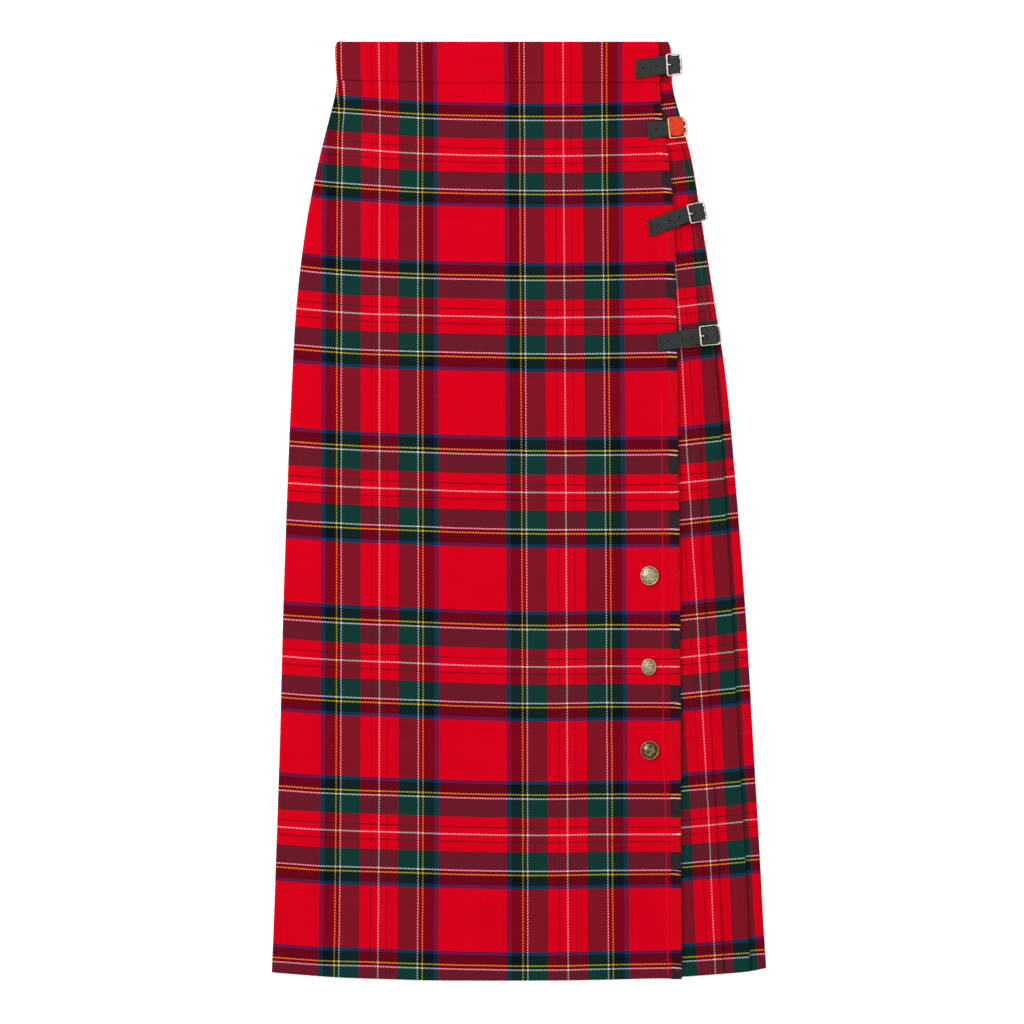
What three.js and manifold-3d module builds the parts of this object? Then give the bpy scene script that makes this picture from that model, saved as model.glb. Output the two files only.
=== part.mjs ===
// A long kilted wrap skirt in tartan wool, fastened and laid flat with its front up.
// Millimetres, +Z up from the surface it lies on, and the waist towards +Y.
import * as THREE from 'three';
import { mergeVertices } from 'three/addons/utils/BufferGeometryUtils.js';
import Module from 'manifold-3d';

const wasm = await Module();
wasm.setup();

// Cloth, and how its layers lie on each other
const CLOTH = 1.2; // thickness of the wool
const GAP = 0.3; // air between pieces that touch
const LAYER = CLOTH + GAP; // rise from one layer of cloth to the next
const UNDER_LAYER = 3; // the layer of the under apron and the side section
const OVER_LAYER = 4; // the layer of the over apron
const OVER_TOP = OVER_LAYER * LAYER + CLOTH; // height of the over apron's face

// Levels along the skirt
const TOP = 483.1; // top edge of the waistband
const SEAM = 442.4; // seam between the waistband and the skirt
const HIDDEN_HEM = 3; // how much shorter the hidden layers are

// Folds and joins across the skirt
const FOLD_RETURN = 12; // how far the over apron turns under at the left fold
const UNDER_START = 4.5; // where the under apron starts, inside the left fold
const UNDER_JOIN = 30; // where the under apron joins the side section, inside the apron's edge
const FOLD_STEPS = 8; // flats in a rounded fold
const ROW_STEPS = 2; // sections between two rows of the outline
const FACE_SPREAD = [0.12, 0.28, 0.45, 0.62, 0.76, 0.88]; // where the apron's face has points across

// The outline, row by row from the waist seam to the hem: the left fold, the over apron's cut edge,
// the tips of its fringe, the edge of the side pleat, and the right fold.
const OUTLINE = [
  { y: 442.4, left: -187.8, edge: 137.0, tip: 145.2, pleat: 152.0, right: 156.6 },
  { y: 427.5, left: -189.5, edge: 137.4, tip: 145.6, pleat: 154.2, right: 159.7 },
  { y: 402.7, left: -195.7, edge: 139.6, tip: 148.2, pleat: 160.4, right: 166.9 },
  { y: 361.5, left: -206.0, edge: 145.0, tip: 154.2, pleat: 169.9, right: 177.7 },
  { y: 299.7, left: -218.4, edge: 150.0, tip: 159.7, pleat: 179.2, right: 187.8 },
  { y: 217.3, left: -228.7, edge: 151.5, tip: 161.6, pleat: 191.4, right: 200.9 },
  { y: 134.9, left: -233.8, edge: 153.0, tip: 163.4, pleat: 203.7, right: 213.2 },
  { y: 11.3, left: -239.0, edge: 154.2, tip: 164.7, pleat: 212.2, right: 224.5 },
  { y: -112.3, left: -243.1, edge: 155.4, tip: 166.0, pleat: 219.7, right: 233.8 },
  { y: -235.9, left: -246.2, edge: 155.8, tip: 166.4, pleat: 226.0, right: 241.0 },
  { y: -359.5, left: -250.3, edge: 156.4, tip: 167.0, pleat: 233.1, right: 248.2 },
  { y: -483.1, left: -254.6, edge: 157.0, tip: 167.5, pleat: 238.3, right: 254.6 },
];

// The hem of the over apron, which rises a little to both sides
const APRON_HEM = [
  { x: -254.6, y: -474.8 },
  { x: -215.0, y: -477.9 },
  { x: -186.0, y: -480.0 },
  { x: -129.0, y: -482.0 },
  { x: -86.0, y: -483.1 },
  { x: 44.0, y: -483.1 },
  { x: 102.0, y: -482.0 },
  { x: 145.0, y: -481.0 },
  { x: 167.5, y: -481.5 },
];

// The hem of the side section, from under the apron to the right fold
const SIDE_HEM = [
  { x: 157.0, y: -479.6 },
  { x: 168.0, y: -479.4 },
  { x: 203.0, y: -476.9 },
  { x: 238.0, y: -473.8 },
  { x: 254.6, y: -470.4 },
];

// The soft pleat in the side section: where it runs and how high it stands
const SOFT_PLEAT = [
  { y: 442.4, x: 142.0, rise: 0.0 },
  { y: 186.0, x: 184.2, rise: 0.3 },
  { y: -35.0, x: 191.0, rise: 1.0 },
  { y: -195.0, x: 194.7, rise: 1.5 },
  { y: -463.0, x: 209.0, rise: 1.8 },
  { y: -483.1, x: 210.0, rise: 1.8 },
];
const SOFT_PLEAT_FOOT = { left: 7, right: 4 };
const PLEAT_ROUNDING = { in: 1, down: 0.3 }; // how the side pleat's edge is eased
const PLEAT_RISE = { from: 0.22, to: 0.5 }; // where the cloth rises between that edge and the right fold

// The knife pleats of the back
const BACK_PLEATS = 18;
const PLEAT_TAKE_UP = 0.8; // depth of a pleat, as a share of what it shows
const PLEAT_EASE = 1; // and how much less than that it is
const SIDE_PLEAT_DEPTH = 9; // depth of the side pleat, and what it gains per mm to the right fold
const SIDE_PLEAT_GAIN = 0.9;
const BACK_START = 3; // space between the side pleat's inner fold and the back

// The waistband, from the seam to its top edge, whose corners are rounded
const BAND_ROWS = [
  { y: 442.4, left: -187.8, overEnd: 145.2, right: 156.6 },
  { y: 456.0, left: -188.7, overEnd: 144.6, right: 156.3 },
  { y: 476.0, left: -189.5, overEnd: 143.8, right: 155.4 },
  { y: 480.6, left: -188.4, overEnd: 143.5, right: 154.7 },
  { y: 482.4, left: -187.0, overEnd: 143.3, right: 153.8 },
  { y: TOP, left: -185.4, overEnd: 143.2, right: 152.6 },
];
const BAND = 2.4; // the aprons' waistband, cloth doubled over its stiffening
const BACK_BAND = 3.0; // the back's waistband
const BAND_RETURN = 14; // how far the aprons' bands turn to the back
const UNDER_BAND_START = 6; // where the under apron's band starts, inside the left fold

// The fringe
const LOCKS = 176;
const ROOT_STRIP = 1.6; // width of the strip that carries the locks
const LOCK_FILL = 0.84; // share of a lock's pitch that its root takes
const LOCK_TAPER = 0.6; // width of a tip, as a share of the root's
const LOCK_THICKNESS = 1.0;
const LOCK_SWAY = 0.9; // how far a tip leans along the edge
const LOCK_SHORT = 0.9; // how much shorter the shortest locks are
const SWAY_STEP = 2.4; // how fast sway and length change from lock to lock, in radians
const SHORT_STEP = 3.7;

// Leather straps with their buckles. x, y and turn place the buckle, and span and rise are its frame's
// size along and across the strap. length runs from the buckle's middle to the sewn end, width is the
// strap's there, waist is its share at the buckle, drop is how far the sewn end lies below the buckle's
// axis, and rest is the height it lies at.
const STRAPS = [
  {
    name: '1', x: 159.7, y: 459.1, turn: 3, span: 16.6, rise: 23.0, length: 39.9, width: 18.6, waist: 1,
    drop: 2.4, rest: 8.7, holes: [18.4, 32.2], prong: true,
  },
  {
    name: '2', x: 163.3, y: 394.7, turn: 5.5, span: 19.8, rise: 21.6, length: 31.2, width: 17.6, waist: 0.84,
    drop: 0, rest: 7.5, holes: [22.4], prong: false,
  },
  {
    name: '3', x: 183.5, y: 307.1, turn: 12, span: 19.4, rise: 20.2, length: 52.4, width: 16.9, waist: 1,
    drop: 5.3, rest: 7.5, holes: [19.0, 29.5, 42.0], prong: true,
  },
  {
    name: '4', x: 196.7, y: 180.8, turn: 5.5, span: 22.2, rise: 21.0, length: 54.8, width: 17.4, waist: 0.97,
    drop: 2.4, rest: 7.5, holes: [18.7, 29.0, 43.5], prong: true,
  },
];
const STRAP = 2.0; // thickness of the leather
const STRAP_HOLE = 0.9; // radius of a punched hole
const STRAP_STEP = 5; // length of a straight stretch where the strap bends
const STRAP_BEND_START = 9; // where the strap starts to bend away from the buckle's axis
const STRAP_LIFT = 1.5; // how far the strap climbs inside the buckle
const CLIMB = { from: 1, to: 5.5 }; // where it climbs, past the free bar
const PLAIN_END = 3; // how far a strap without a prong reaches past the free bar

// The cast frames: thickness, width of each member, the slot behind the hinge bar, and the corners'
// roundings outside, in the window and in the slot. slotInset is the solid left at each end of the slot.
const FRAME = {
  thickness: 1.6, bar: 1.8, rail: 1.2, outerBar: 1.3, slot: 1.8, hinge: 1.0,
  near: 2.6, far: 2.6, windowNear: 0.9, windowFar: 0.4, slotCorner: 0.4, slotInset: 1.4,
};
const D_FRAME = { ...FRAME, far: 7, windowFar: 3, slotInset: 3.2 };
const FRAME_TILT = 6; // degrees that the frame's free bar is tipped up over the strap
const FRAME_ABOVE_REST = 2.4; // height of the frame's middle over the strap's underside
const CORNER_SEGMENTS = 4;
const BAR_EASE = 0.1; // what the tilt adds to the free bar's height

// The eyes round a hinge bar
const EYE = { inner: 1.2, outer: 1.75, sides: 12 };

// The prongs: the arm leaves the eye at its heel, runs below the strap, rises through the strap's slot
// between foot and shoulder, and ends at its tip. The last five are distances past the free bar.
const PRONG = {
  wire: 1.1, width: 1.8, heelOut: 1.0, heelDown: 1.05, kneeOut: 1.9,
  foot: 6, shoulder: 1.8, tip: -1.5, slotFrom: 1.9, slotTo: 6.9,
};
const PRONG_SLOT = 2.6; // width of the strap's slot and of the tab's cut round the prong
const SLOT_REACH = 3; // how far the tools that cut for it reach past the leather

// The leather tabs: a plate on the side section and a neck up to the eye
const TAB = { thickness: 1.2, length: 14, width: 11, neck: 1.2, cutIn: 3, cutOut: 2.5 };
const TAB_UNDERSIDE = UNDER_LAYER * LAYER + CLOTH + GAP;
const TURNED_END = { from: -7.7, to: 6.8, width: 17.6, near: 3, far: 5.5, thickness: 1.6 };

// Metal dome buttons on the over apron
const BUTTONS = [
  { name: '1', x: 134.3, y: -66.5, across: 17.7, along: 19.9, height: 5.2 },
  { name: '2', x: 133.6, y: -160.3, across: 14.2, along: 16.9, height: 5.0 },
  { name: '3', x: 134.5, y: -246.1, across: 18.2, along: 19.3, height: 5.4 },
];

// A button's profile, from the middle of its back to the top of its dome: share of radius and of height
const BUTTON_PROFILE = [
  { out: 0.0, up: 0.0 },
  { out: 0.8, up: 0.0 },
  { out: 0.97, up: 0.16 },
  { out: 1.0, up: 0.32 },
  { out: 0.95, up: 0.42 },
  { out: 0.86, up: 0.42 },
  { out: 0.72, up: 0.68 },
  { out: 0.42, up: 0.93 },
  { out: 0.0, up: 1.0 },
];
const BUTTON_SIDES = 20;

const finish = (color, roughness, metalness = 0) => ({ color, roughness, metalness });
const TARTAN = finish(0xb3141f, 0.92);
const FRINGE_WOOL = finish(0xc21a24, 0.95);
const BAND_WOOL = finish(0xa8121d, 0.92);
const LEATHER = finish(0x232526, 0.55);
const SUEDE = finish(0xe8472b, 0.8);
const STEEL = finish(0xc9c7c2, 0.25, 1);
const BRASS = finish(0xb99a5b, 0.35, 1);

// ---------------------------------------------------------------- shapes and sections

// A value from a table at a place along it, on a smooth curve through the rows
function follow(rows, along, column, place) {
  const rising = rows[rows.length - 1][along] > rows[0][along];
  const passed = (row) => (rising ? place >= row[along] : place <= row[along]);
  const inner = rows.slice(1, -1).filter(passed).length;
  const [start, end] = [rows[inner], rows[inner + 1]];
  const before = rows[Math.max(inner - 1, 0)];
  const after = rows[Math.min(inner + 2, rows.length - 1)];
  const step = end[along] - start[along];
  const t = THREE.MathUtils.clamp((place - start[along]) / step, 0, 1);
  const startSlope = (end[column] - before[column]) / (end[along] - before[along]);
  const endSlope = (after[column] - start[column]) / (after[along] - start[along]);
  const t2 = t * t;
  const t3 = t2 * t;
  return (2 * t3 - 3 * t2 + 1) * start[column] + (t3 - 2 * t2 + t) * step * startSlope
    + (3 * t2 - 2 * t3) * end[column] + (t3 - t2) * step * endSlope;
}

// Where the outline and the soft pleat lie at one level
function rowAt(y) {
  const row = { y };
  for (const column of ['left', 'edge', 'tip', 'pleat', 'right']) {
    row[column] = follow(OUTLINE, 'y', column, y);
  }
  row.soft = follow(SOFT_PLEAT, 'y', 'x', y);
  row.softRise = follow(SOFT_PLEAT, 'y', 'rise', y);
  row.pleatDepth = SIDE_PLEAT_DEPTH + SIDE_PLEAT_GAIN * (row.right - row.pleat);
  row.backEnd = row.pleat - row.pleatDepth - BACK_START;
  row.underJoin = row.edge - UNDER_JOIN;
  row.foldReturn = row.left + FOLD_RETURN;
  return row;
}

// Levels from the seam to the hem, with a number of even steps between the outline's rows
function levels(steps) {
  const list = [SEAM - GAP / 2];
  for (let i = 1; i < OUTLINE.length; i += 1) {
    for (let s = 1; s <= steps; s += 1) {
      list.push(THREE.MathUtils.lerp(OUTLINE[i - 1].y, OUTLINE[i].y, s / steps));
    }
  }
  return list;
}

const layerMiddle = (layer) => layer * LAYER + CLOTH / 2;

// The section of a wall that follows a path in the x-z plane, as a closed ring
function wall(path, thickness) {
  const points = path.map(([x, z]) => new THREE.Vector2(x, z));
  const normals = points.slice(1).map((point, i) => {
    const along = point.clone().sub(points[i]).normalize();
    return new THREE.Vector2(along.y, -along.x);
  });
  const side = (sign) => points.map((point, i) => {
    const first = normals[Math.max(i - 1, 0)];
    const second = normals[Math.min(i, normals.length - 1)];
    const reach = (sign * thickness) / 2 / (1 + first.dot(second));
    return [point.x + (first.x + second.x) * reach, point.y + (first.y + second.y) * reach];
  });
  return [...side(1), ...side(-1).reverse()];
}

// The points of a half-round fold between two heights; turn is -1 for a left fold and 1 for a right one
function fold(outermost, fromHeight, toHeight, thickness, turn) {
  const radius = Math.abs(fromHeight - toHeight) / 2;
  const middle = (fromHeight + toHeight) / 2;
  const centre = outermost - turn * (radius + thickness / 2);
  const points = [];
  for (let i = 0; i <= FOLD_STEPS; i += 1) {
    const angle = (Math.PI * i) / FOLD_STEPS;
    const up = (fromHeight - middle) * Math.cos(angle);
    points.push([centre + turn * radius * Math.sin(angle), middle + up]);
  }
  return points;
}

// A closed solid through rings of [x, y, z] points, from the waist's end to the hem's
function loft(rings) {
  const count = rings[0].length;
  const index = [];
  for (let r = 0; r + 1 < rings.length; r += 1) {
    for (let i = 0; i < count; i += 1) {
      const a = r * count + i;
      const b = r * count + ((i + 1) % count);
      index.push(a, b, a + count, b, b + count, a + count);
    }
  }
  const cap = (ring, offset, facing) => {
    const flat = ring.map(([x, , z]) => new THREE.Vector2(x, z));
    for (const [a, b, c] of THREE.ShapeUtils.triangulateShape(flat, [])) {
      const turn = THREE.ShapeUtils.area([flat[a], flat[b], flat[c]]) * facing;
      index.push(offset + a, offset + (turn > 0 ? b : c), offset + (turn > 0 ? c : b));
    }
  };
  cap(rings[0], 0, -1);
  cap(rings[rings.length - 1], (rings.length - 1) * count, 1);
  const geometry = new THREE.BufferGeometry();
  geometry.setAttribute('position', new THREE.Float32BufferAttribute(rings.flat(2), 3));
  geometry.setIndex(index);
  geometry.computeVertexNormals();
  return geometry;
}

// A cloth panel: one section for each level, the last one bent to the hem
function panel(sectionAt, hemAt, steps) {
  const list = levels(steps);
  const hemLevel = list[list.length - 1];
  return loft(list.map((y) => {
    const ring = wall(sectionAt(rowAt(y)), CLOTH);
    return ring.map(([x, z]) => [x, y === hemLevel ? hemAt(x) : y, z]);
  }));
}

// A solid of constant width across a shape drawn in the x-z plane
function across(outline, width, holes = []) {
  const shape = new THREE.Shape(outline.map(([x, z]) => new THREE.Vector2(x, z)));
  shape.holes.push(...holes);
  const geometry = new THREE.ExtrudeGeometry(shape, { depth: width, bevelEnabled: false, curveSegments: 6 });
  geometry.translate(0, 0, -width / 2);
  geometry.rotateX(Math.PI / 2);
  return geometry;
}

const box = (x0, x1, z0, z1) => [[x0, z0], [x1, z0], [x1, z1], [x0, z1]];

function toManifold(geometry) {
  const bare = geometry.clone();
  bare.deleteAttribute('normal');
  bare.deleteAttribute('uv');
  const merged = mergeVertices(bare, 1e-4);
  const vertProperties = new Float32Array(merged.attributes.position.array);
  const triVerts = new Uint32Array(merged.index.array);
  return new wasm.Manifold(new wasm.Mesh({ numProp: 3, vertProperties, triVerts }));
}

function fromManifold(solid) {
  const mesh = solid.getMesh();
  const geometry = new THREE.BufferGeometry();
  geometry.setAttribute('position', new THREE.BufferAttribute(new Float32Array(mesh.vertProperties), 3));
  geometry.setIndex(Array.from(mesh.triVerts));
  geometry.computeVertexNormals();
  return geometry;
}

const join = (...parts) => fromManifold(parts.map(toManifold).reduce((sum, part) => sum.add(part)));
const cut = (body, ...tools) => fromManifold(
  tools.map(toManifold).reduce((rest, tool) => rest.subtract(tool), toManifold(body)),
);

// ---------------------------------------------------------------- the skirt's cloth

// The front panel: its face, the left fold and the short return on the back
function overApron() {
  const section = (row) => {
    const face = layerMiddle(OVER_LAYER);
    const turned = fold(row.left, face, layerMiddle(0), CLOTH, -1);
    const between = FACE_SPREAD.map((share) => [THREE.MathUtils.lerp(row.edge, turned[0][0], share), face]);
    return [[row.edge, face], ...between, ...turned, [row.foldReturn, layerMiddle(0)]];
  };
  return panel(section, (x) => follow(APRON_HEM, 'x', 'y', x), ROW_STEPS);
}

// The plain panel below the front
function underApron() {
  const section = (row) => [
    [row.left + UNDER_START, layerMiddle(UNDER_LAYER)],
    [THREE.MathUtils.lerp(row.left, row.underJoin, 1 / 3), layerMiddle(UNDER_LAYER)],
    [THREE.MathUtils.lerp(row.left, row.underJoin, 2 / 3), layerMiddle(UNDER_LAYER)],
    [row.underJoin - GAP, layerMiddle(UNDER_LAYER)],
  ];
  return panel(section, (x) => follow(APRON_HEM, 'x', 'y', x) + HIDDEN_HEM, 1);
}

// The side section: a soft pleat, a knife pleat and the right fold, then on to the back
function sidePleats() {
  const section = (row) => {
    const [back, inner, middle, face] = [0, 1, 2, UNDER_LAYER].map(layerMiddle);
    const pleatEdge = row.pleat - CLOTH / 2;
    const beyond = row.right - row.pleat;
    return [
      [row.underJoin, face],
      [row.soft - SOFT_PLEAT_FOOT.left, face],
      [row.soft, face + row.softRise],
      [row.soft + SOFT_PLEAT_FOOT.right, face],
      [pleatEdge - PLEAT_ROUNDING.in, face],
      [pleatEdge, face - PLEAT_ROUNDING.down],
      [pleatEdge, middle],
      [row.pleat - row.pleatDepth, middle],
      [row.pleat - row.pleatDepth, inner],
      [row.pleat + PLEAT_RISE.from * beyond, inner],
      [row.pleat + PLEAT_RISE.to * beyond, middle],
      ...fold(row.right, middle, back, CLOTH, 1),
      [row.backEnd + GAP, back],
    ];
  };
  return panel(section, (x) => follow(SIDE_HEM, 'x', 'y', x), ROW_STEPS);
}

// The knife-pleated back: each pleat shows its face below and lies in three layers
function backPleats() {
  const section = (row) => {
    const [face, inner, top] = [0, 1, 2].map(layerMiddle);
    const start = row.backEnd;
    const shown = (start - row.foldReturn - GAP) / BACK_PLEATS;
    const depth = PLEAT_TAKE_UP * shown - PLEAT_EASE;
    const path = [[start, face]];
    for (let pleat = 1; pleat < BACK_PLEATS; pleat += 1) {
      const edge = start - pleat * shown;
      path.push([edge, face], [edge, inner], [edge + depth, inner]);
      path.push([edge + depth, top], [edge - LAYER, top], [edge - LAYER, face]);
    }
    path.push([row.foldReturn + GAP, face]);
    return path;
  };
  return panel(section, (x) => follow(APRON_HEM, 'x', 'y', Math.min(x, 0)) + HIDDEN_HEM, 1);
}

// The over apron's fringe: locks of weft on a narrow strip along its cut edge
function apronFringe() {
  const top = SEAM - GAP;
  const bottom = APRON_HEM[APRON_HEM.length - 1].y;
  const pitch = (top - bottom) / LOCKS;
  const strip = (y) => rowAt(y).edge + GAP + ROOT_STRIP;
  const outline = [];
  for (let lock = 0; lock < LOCKS; lock += 1) {
    const y = bottom + (lock + 0.5) * pitch;
    const half = (pitch * LOCK_FILL) / 2;
    const sway = LOCK_SWAY * (Math.sin(SWAY_STEP * lock) - 1 / 2);
    const tip = rowAt(y).tip - (LOCK_SHORT / 2) * (1 + Math.sin(SHORT_STEP * lock));
    outline.push([strip(y), y - half]);
    outline.push([tip, Math.max(y + sway - half * LOCK_TAPER, bottom)]);
    outline.push([tip, Math.min(y + sway + half * LOCK_TAPER, top)]);
    outline.push([strip(y), y + half]);
  }
  for (const y of levels(ROW_STEPS)) {
    outline.push([rowAt(y).edge + GAP, THREE.MathUtils.clamp(y, bottom, top)]);
  }
  const shape = new THREE.Shape(outline.map(([x, y]) => new THREE.Vector2(x, y)));
  const geometry = new THREE.ExtrudeGeometry(shape, { depth: LOCK_THICKNESS, bevelEnabled: false });
  geometry.translate(0, 0, OVER_LAYER * LAYER);
  return geometry;
}

// ---------------------------------------------------------------- the waistband

// A stretch of waistband: one section for each of its rows
function bandStretch(pathAt, thickness) {
  const rows = BAND_ROWS.map((row, i) => (i === 0 ? { ...row, y: SEAM + GAP / 2 } : row));
  return loft(rows.reverse().map((row) => wall(pathAt(row), thickness).map(([x, z]) => [x, row.y, z])));
}

function waistbandOver() {
  const height = OVER_LAYER * LAYER + BAND / 2;
  return bandStretch((row) => [
    [row.overEnd, height],
    ...fold(row.left, height, BAND / 2, BAND, -1),
    [row.left + BAND_RETURN, BAND / 2],
  ], BAND);
}

function waistbandUnder() {
  const height = UNDER_LAYER * LAYER + CLOTH - BAND / 2;
  return bandStretch((row) => [
    [row.left + UNDER_BAND_START, height],
    ...fold(row.right, height, BAND / 2, BAND, 1),
    [row.right - BAND_RETURN, BAND / 2],
  ], BAND);
}

function waistbandBack() {
  return bandStretch((row) => [
    [row.left + BAND_RETURN + GAP, BACK_BAND / 2],
    [row.right - BAND_RETURN - GAP, BACK_BAND / 2],
  ], BACK_BAND);
}

// ---------------------------------------------------------------- straps and buckles

// Places along a buckle, from its middle: the free bar, the hinge bar and the heights they lie at
function buckleLayout(strap) {
  const tilt = THREE.MathUtils.degToRad(FRAME_TILT);
  const freeBar = -strap.span / 2 + FRAME.bar / 2;
  const hinge = strap.span / 2 - FRAME.outerBar - FRAME.slot - FRAME.hinge / 2;
  const middle = strap.rest + FRAME_ABOVE_REST;
  return {
    tilt,
    middle,
    freeBar: freeBar * Math.cos(tilt),
    freeBarTop: middle - freeBar * Math.sin(tilt) + FRAME.thickness / 2 + BAR_EASE,
    hinge: hinge * Math.cos(tilt),
    hingeHeight: middle - hinge * Math.sin(tilt),
  };
}

function circle(x, z, radius) {
  const path = new THREE.Path();
  path.absarc(x, z, radius, 0, 2 * Math.PI, true);
  return path;
}

const eyeRing = (x, z, width) => {
  const ring = [];
  for (let i = 0; i < EYE.sides; i += 1) {
    const angle = (2 * Math.PI * i) / EYE.sides;
    ring.push([x + EYE.outer * Math.cos(angle), z + EYE.outer * Math.sin(angle)]);
  }
  return across(ring, width, [circle(x, z, EYE.inner)]);
};

// The strap, sewn down at its far end, under the free bar and up inside the buckle
function strapLeather(strap) {
  const place = buckleLayout(strap);
  const low = strap.rest + STRAP / 2;
  const high = low + STRAP_LIFT;
  const tip = place.hinge - EYE.outer - 2 * GAP;
  const path = [];
  for (let x = -strap.length; x < place.freeBar; x += STRAP_STEP) {
    path.push([x, low]);
  }
  path.push([place.freeBar + CLIMB.from, low]);
  if (strap.prong) {
    path.push([place.freeBar + CLIMB.to, high], [tip, high]);
  } else {
    path.push([place.freeBar + PLAIN_END, low]);
  }
  const body = across(wall(path, STRAP), strap.width);
  const tools = strap.holes.map((from) => {
    const hole = new THREE.CylinderGeometry(STRAP_HOLE, STRAP_HOLE, 3 * STRAP, 8);
    return hole.rotateX(Math.PI / 2).translate(-from, 0, low);
  });
  if (strap.prong) {
    const slot = box(
      place.freeBar + PRONG.slotFrom,
      place.freeBar + PRONG.slotTo,
      strap.rest - SLOT_REACH,
      high + SLOT_REACH,
    );
    tools.push(across(slot, PRONG_SLOT));
  }
  const geometry = cut(body, ...tools);
  const position = geometry.attributes.position;
  const bendLength = strap.length - STRAP_BEND_START;
  for (let i = 0; i < position.count; i += 1) {
    const x = position.getX(i);
    const share = THREE.MathUtils.clamp((-x - STRAP_BEND_START) / bendLength, 0, 1);
    const narrow = THREE.MathUtils.lerp(strap.waist, 1, share);
    position.setY(i, position.getY(i) * narrow - strap.drop * THREE.MathUtils.smoothstep(share, 0, 1));
  }
  geometry.computeVertexNormals();
  return geometry;
}

// A rounded oblong as a path; the far corners may be rounder than the near ones
function oblong(path, x0, x1, half, near, far) {
  path.moveTo(x0 + near, -half);
  path.lineTo(x1 - far, -half);
  path.quadraticCurveTo(x1, -half, x1, -half + far);
  path.lineTo(x1, half - far);
  path.quadraticCurveTo(x1, half, x1 - far, half);
  path.lineTo(x0 + near, half);
  path.quadraticCurveTo(x0, half, x0, half - near);
  path.lineTo(x0, -half + near);
  path.quadraticCurveTo(x0, -half, x0 + near, -half);
}

// The frame: a free bar, two rails, the hinge bar and the outer bar, cast in one piece
function buckleFrame(strap) {
  const form = strap.prong ? FRAME : D_FRAME;
  const [start, end, half] = [-strap.span / 2, strap.span / 2, strap.rise / 2];
  const slotStart = end - form.outerBar - form.slot;
  const windowHalf = half - form.rail;
  const slotHalf = windowHalf - form.slotInset;
  const shape = new THREE.Shape();
  const window = new THREE.Path();
  const slot = new THREE.Path();
  oblong(shape, start, end, half, form.near, form.far);
  oblong(window, start + form.bar, slotStart - form.hinge, windowHalf, form.windowNear, form.windowFar);
  oblong(slot, slotStart, end - form.outerBar, slotHalf, form.slotCorner, form.slotCorner);
  shape.holes.push(window, slot);
  const geometry = new THREE.ExtrudeGeometry(shape, {
    depth: form.thickness, bevelEnabled: false, curveSegments: CORNER_SEGMENTS,
  });
  geometry.translate(0, 0, -form.thickness / 2);
  return geometry;
}

// The prong: an eye round the hinge bar, an arm under the strap, and up through it onto the free bar
function buckleProng(strap) {
  const place = buckleLayout(strap);
  const armHeight = TAB_UNDERSIDE + TAB.thickness + GAP + PRONG.wire / 2 + (strap.rest - OVER_TOP - GAP);
  const tipHeight = place.freeBarTop + GAP + PRONG.wire / 2;
  const arm = wall([
    [place.hinge - PRONG.heelOut, place.hingeHeight - PRONG.heelDown],
    [place.hinge - PRONG.kneeOut, armHeight],
    [place.freeBar + PRONG.foot, armHeight],
    [place.freeBar + PRONG.shoulder, tipHeight],
    [place.freeBar + PRONG.tip, tipHeight],
  ], PRONG.wire);
  return join(across(arm, PRONG.width), eyeRing(place.hinge, place.hingeHeight, PRONG.width));
}

// The leather tab sewn to the side section, which carries the hinge bar in its eye
function buckleTab(strap) {
  const place = buckleLayout(strap);
  const top = TAB_UNDERSIDE + TAB.thickness;
  const plate = box(place.hinge - TAB.length, place.hinge + TAB.neck, TAB_UNDERSIDE, top);
  const neckTop = place.hingeHeight - (EYE.inner + EYE.outer) / 2;
  const neck = box(place.hinge - TAB.neck, place.hinge + TAB.neck, TAB_UNDERSIDE, neckTop);
  const body = join(
    across(plate, TAB.width),
    across(neck, TAB.width),
    eyeRing(place.hinge, place.hingeHeight, TAB.width),
  );
  const way = box(place.hinge - TAB.cutIn, place.hinge + TAB.cutOut, top, place.hingeHeight + SLOT_REACH);
  return cut(body, across(way, PRONG_SLOT));
}

// The second strap's turned end, flesh side out, which lies on the tab's eye and fills the frame
function turnedEnd(strap) {
  const place = buckleLayout(strap);
  const shape = new THREE.Shape();
  oblong(shape, TURNED_END.from, TURNED_END.to, TURNED_END.width / 2, TURNED_END.near, TURNED_END.far);
  const geometry = new THREE.ExtrudeGeometry(shape, {
    depth: TURNED_END.thickness, bevelEnabled: false, curveSegments: CORNER_SEGMENTS,
  });
  return geometry.translate(0, 0, place.hingeHeight + EYE.outer + GAP);
}

// ---------------------------------------------------------------- buttons

function domeButton(button) {
  const profile = BUTTON_PROFILE.map(({ out, up }) => new THREE.Vector2(out / 2, up * button.height));
  const geometry = new THREE.LatheGeometry(profile, BUTTON_SIDES);
  geometry.rotateX(Math.PI / 2);
  return geometry.scale(button.across, button.along, 1);
}

// ---------------------------------------------------------------- assembly

const skirt = new THREE.Group();

function piece(name, geometry, look, parent = skirt) {
  const mesh = new THREE.Mesh(geometry, new THREE.MeshStandardMaterial(look));
  mesh.name = name;
  parent.add(mesh);
  return mesh;
}

piece('over_apron', overApron(), TARTAN);
piece('apron_fringe', apronFringe(), FRINGE_WOOL);
piece('under_apron', underApron(), TARTAN);
piece('side_pleats', sidePleats(), TARTAN);
piece('back_pleats', backPleats(), TARTAN);
piece('waistband_over', waistbandOver(), BAND_WOOL);
piece('waistband_under', waistbandUnder(), BAND_WOOL);
piece('waistband_back', waistbandBack(), BAND_WOOL);

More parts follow.
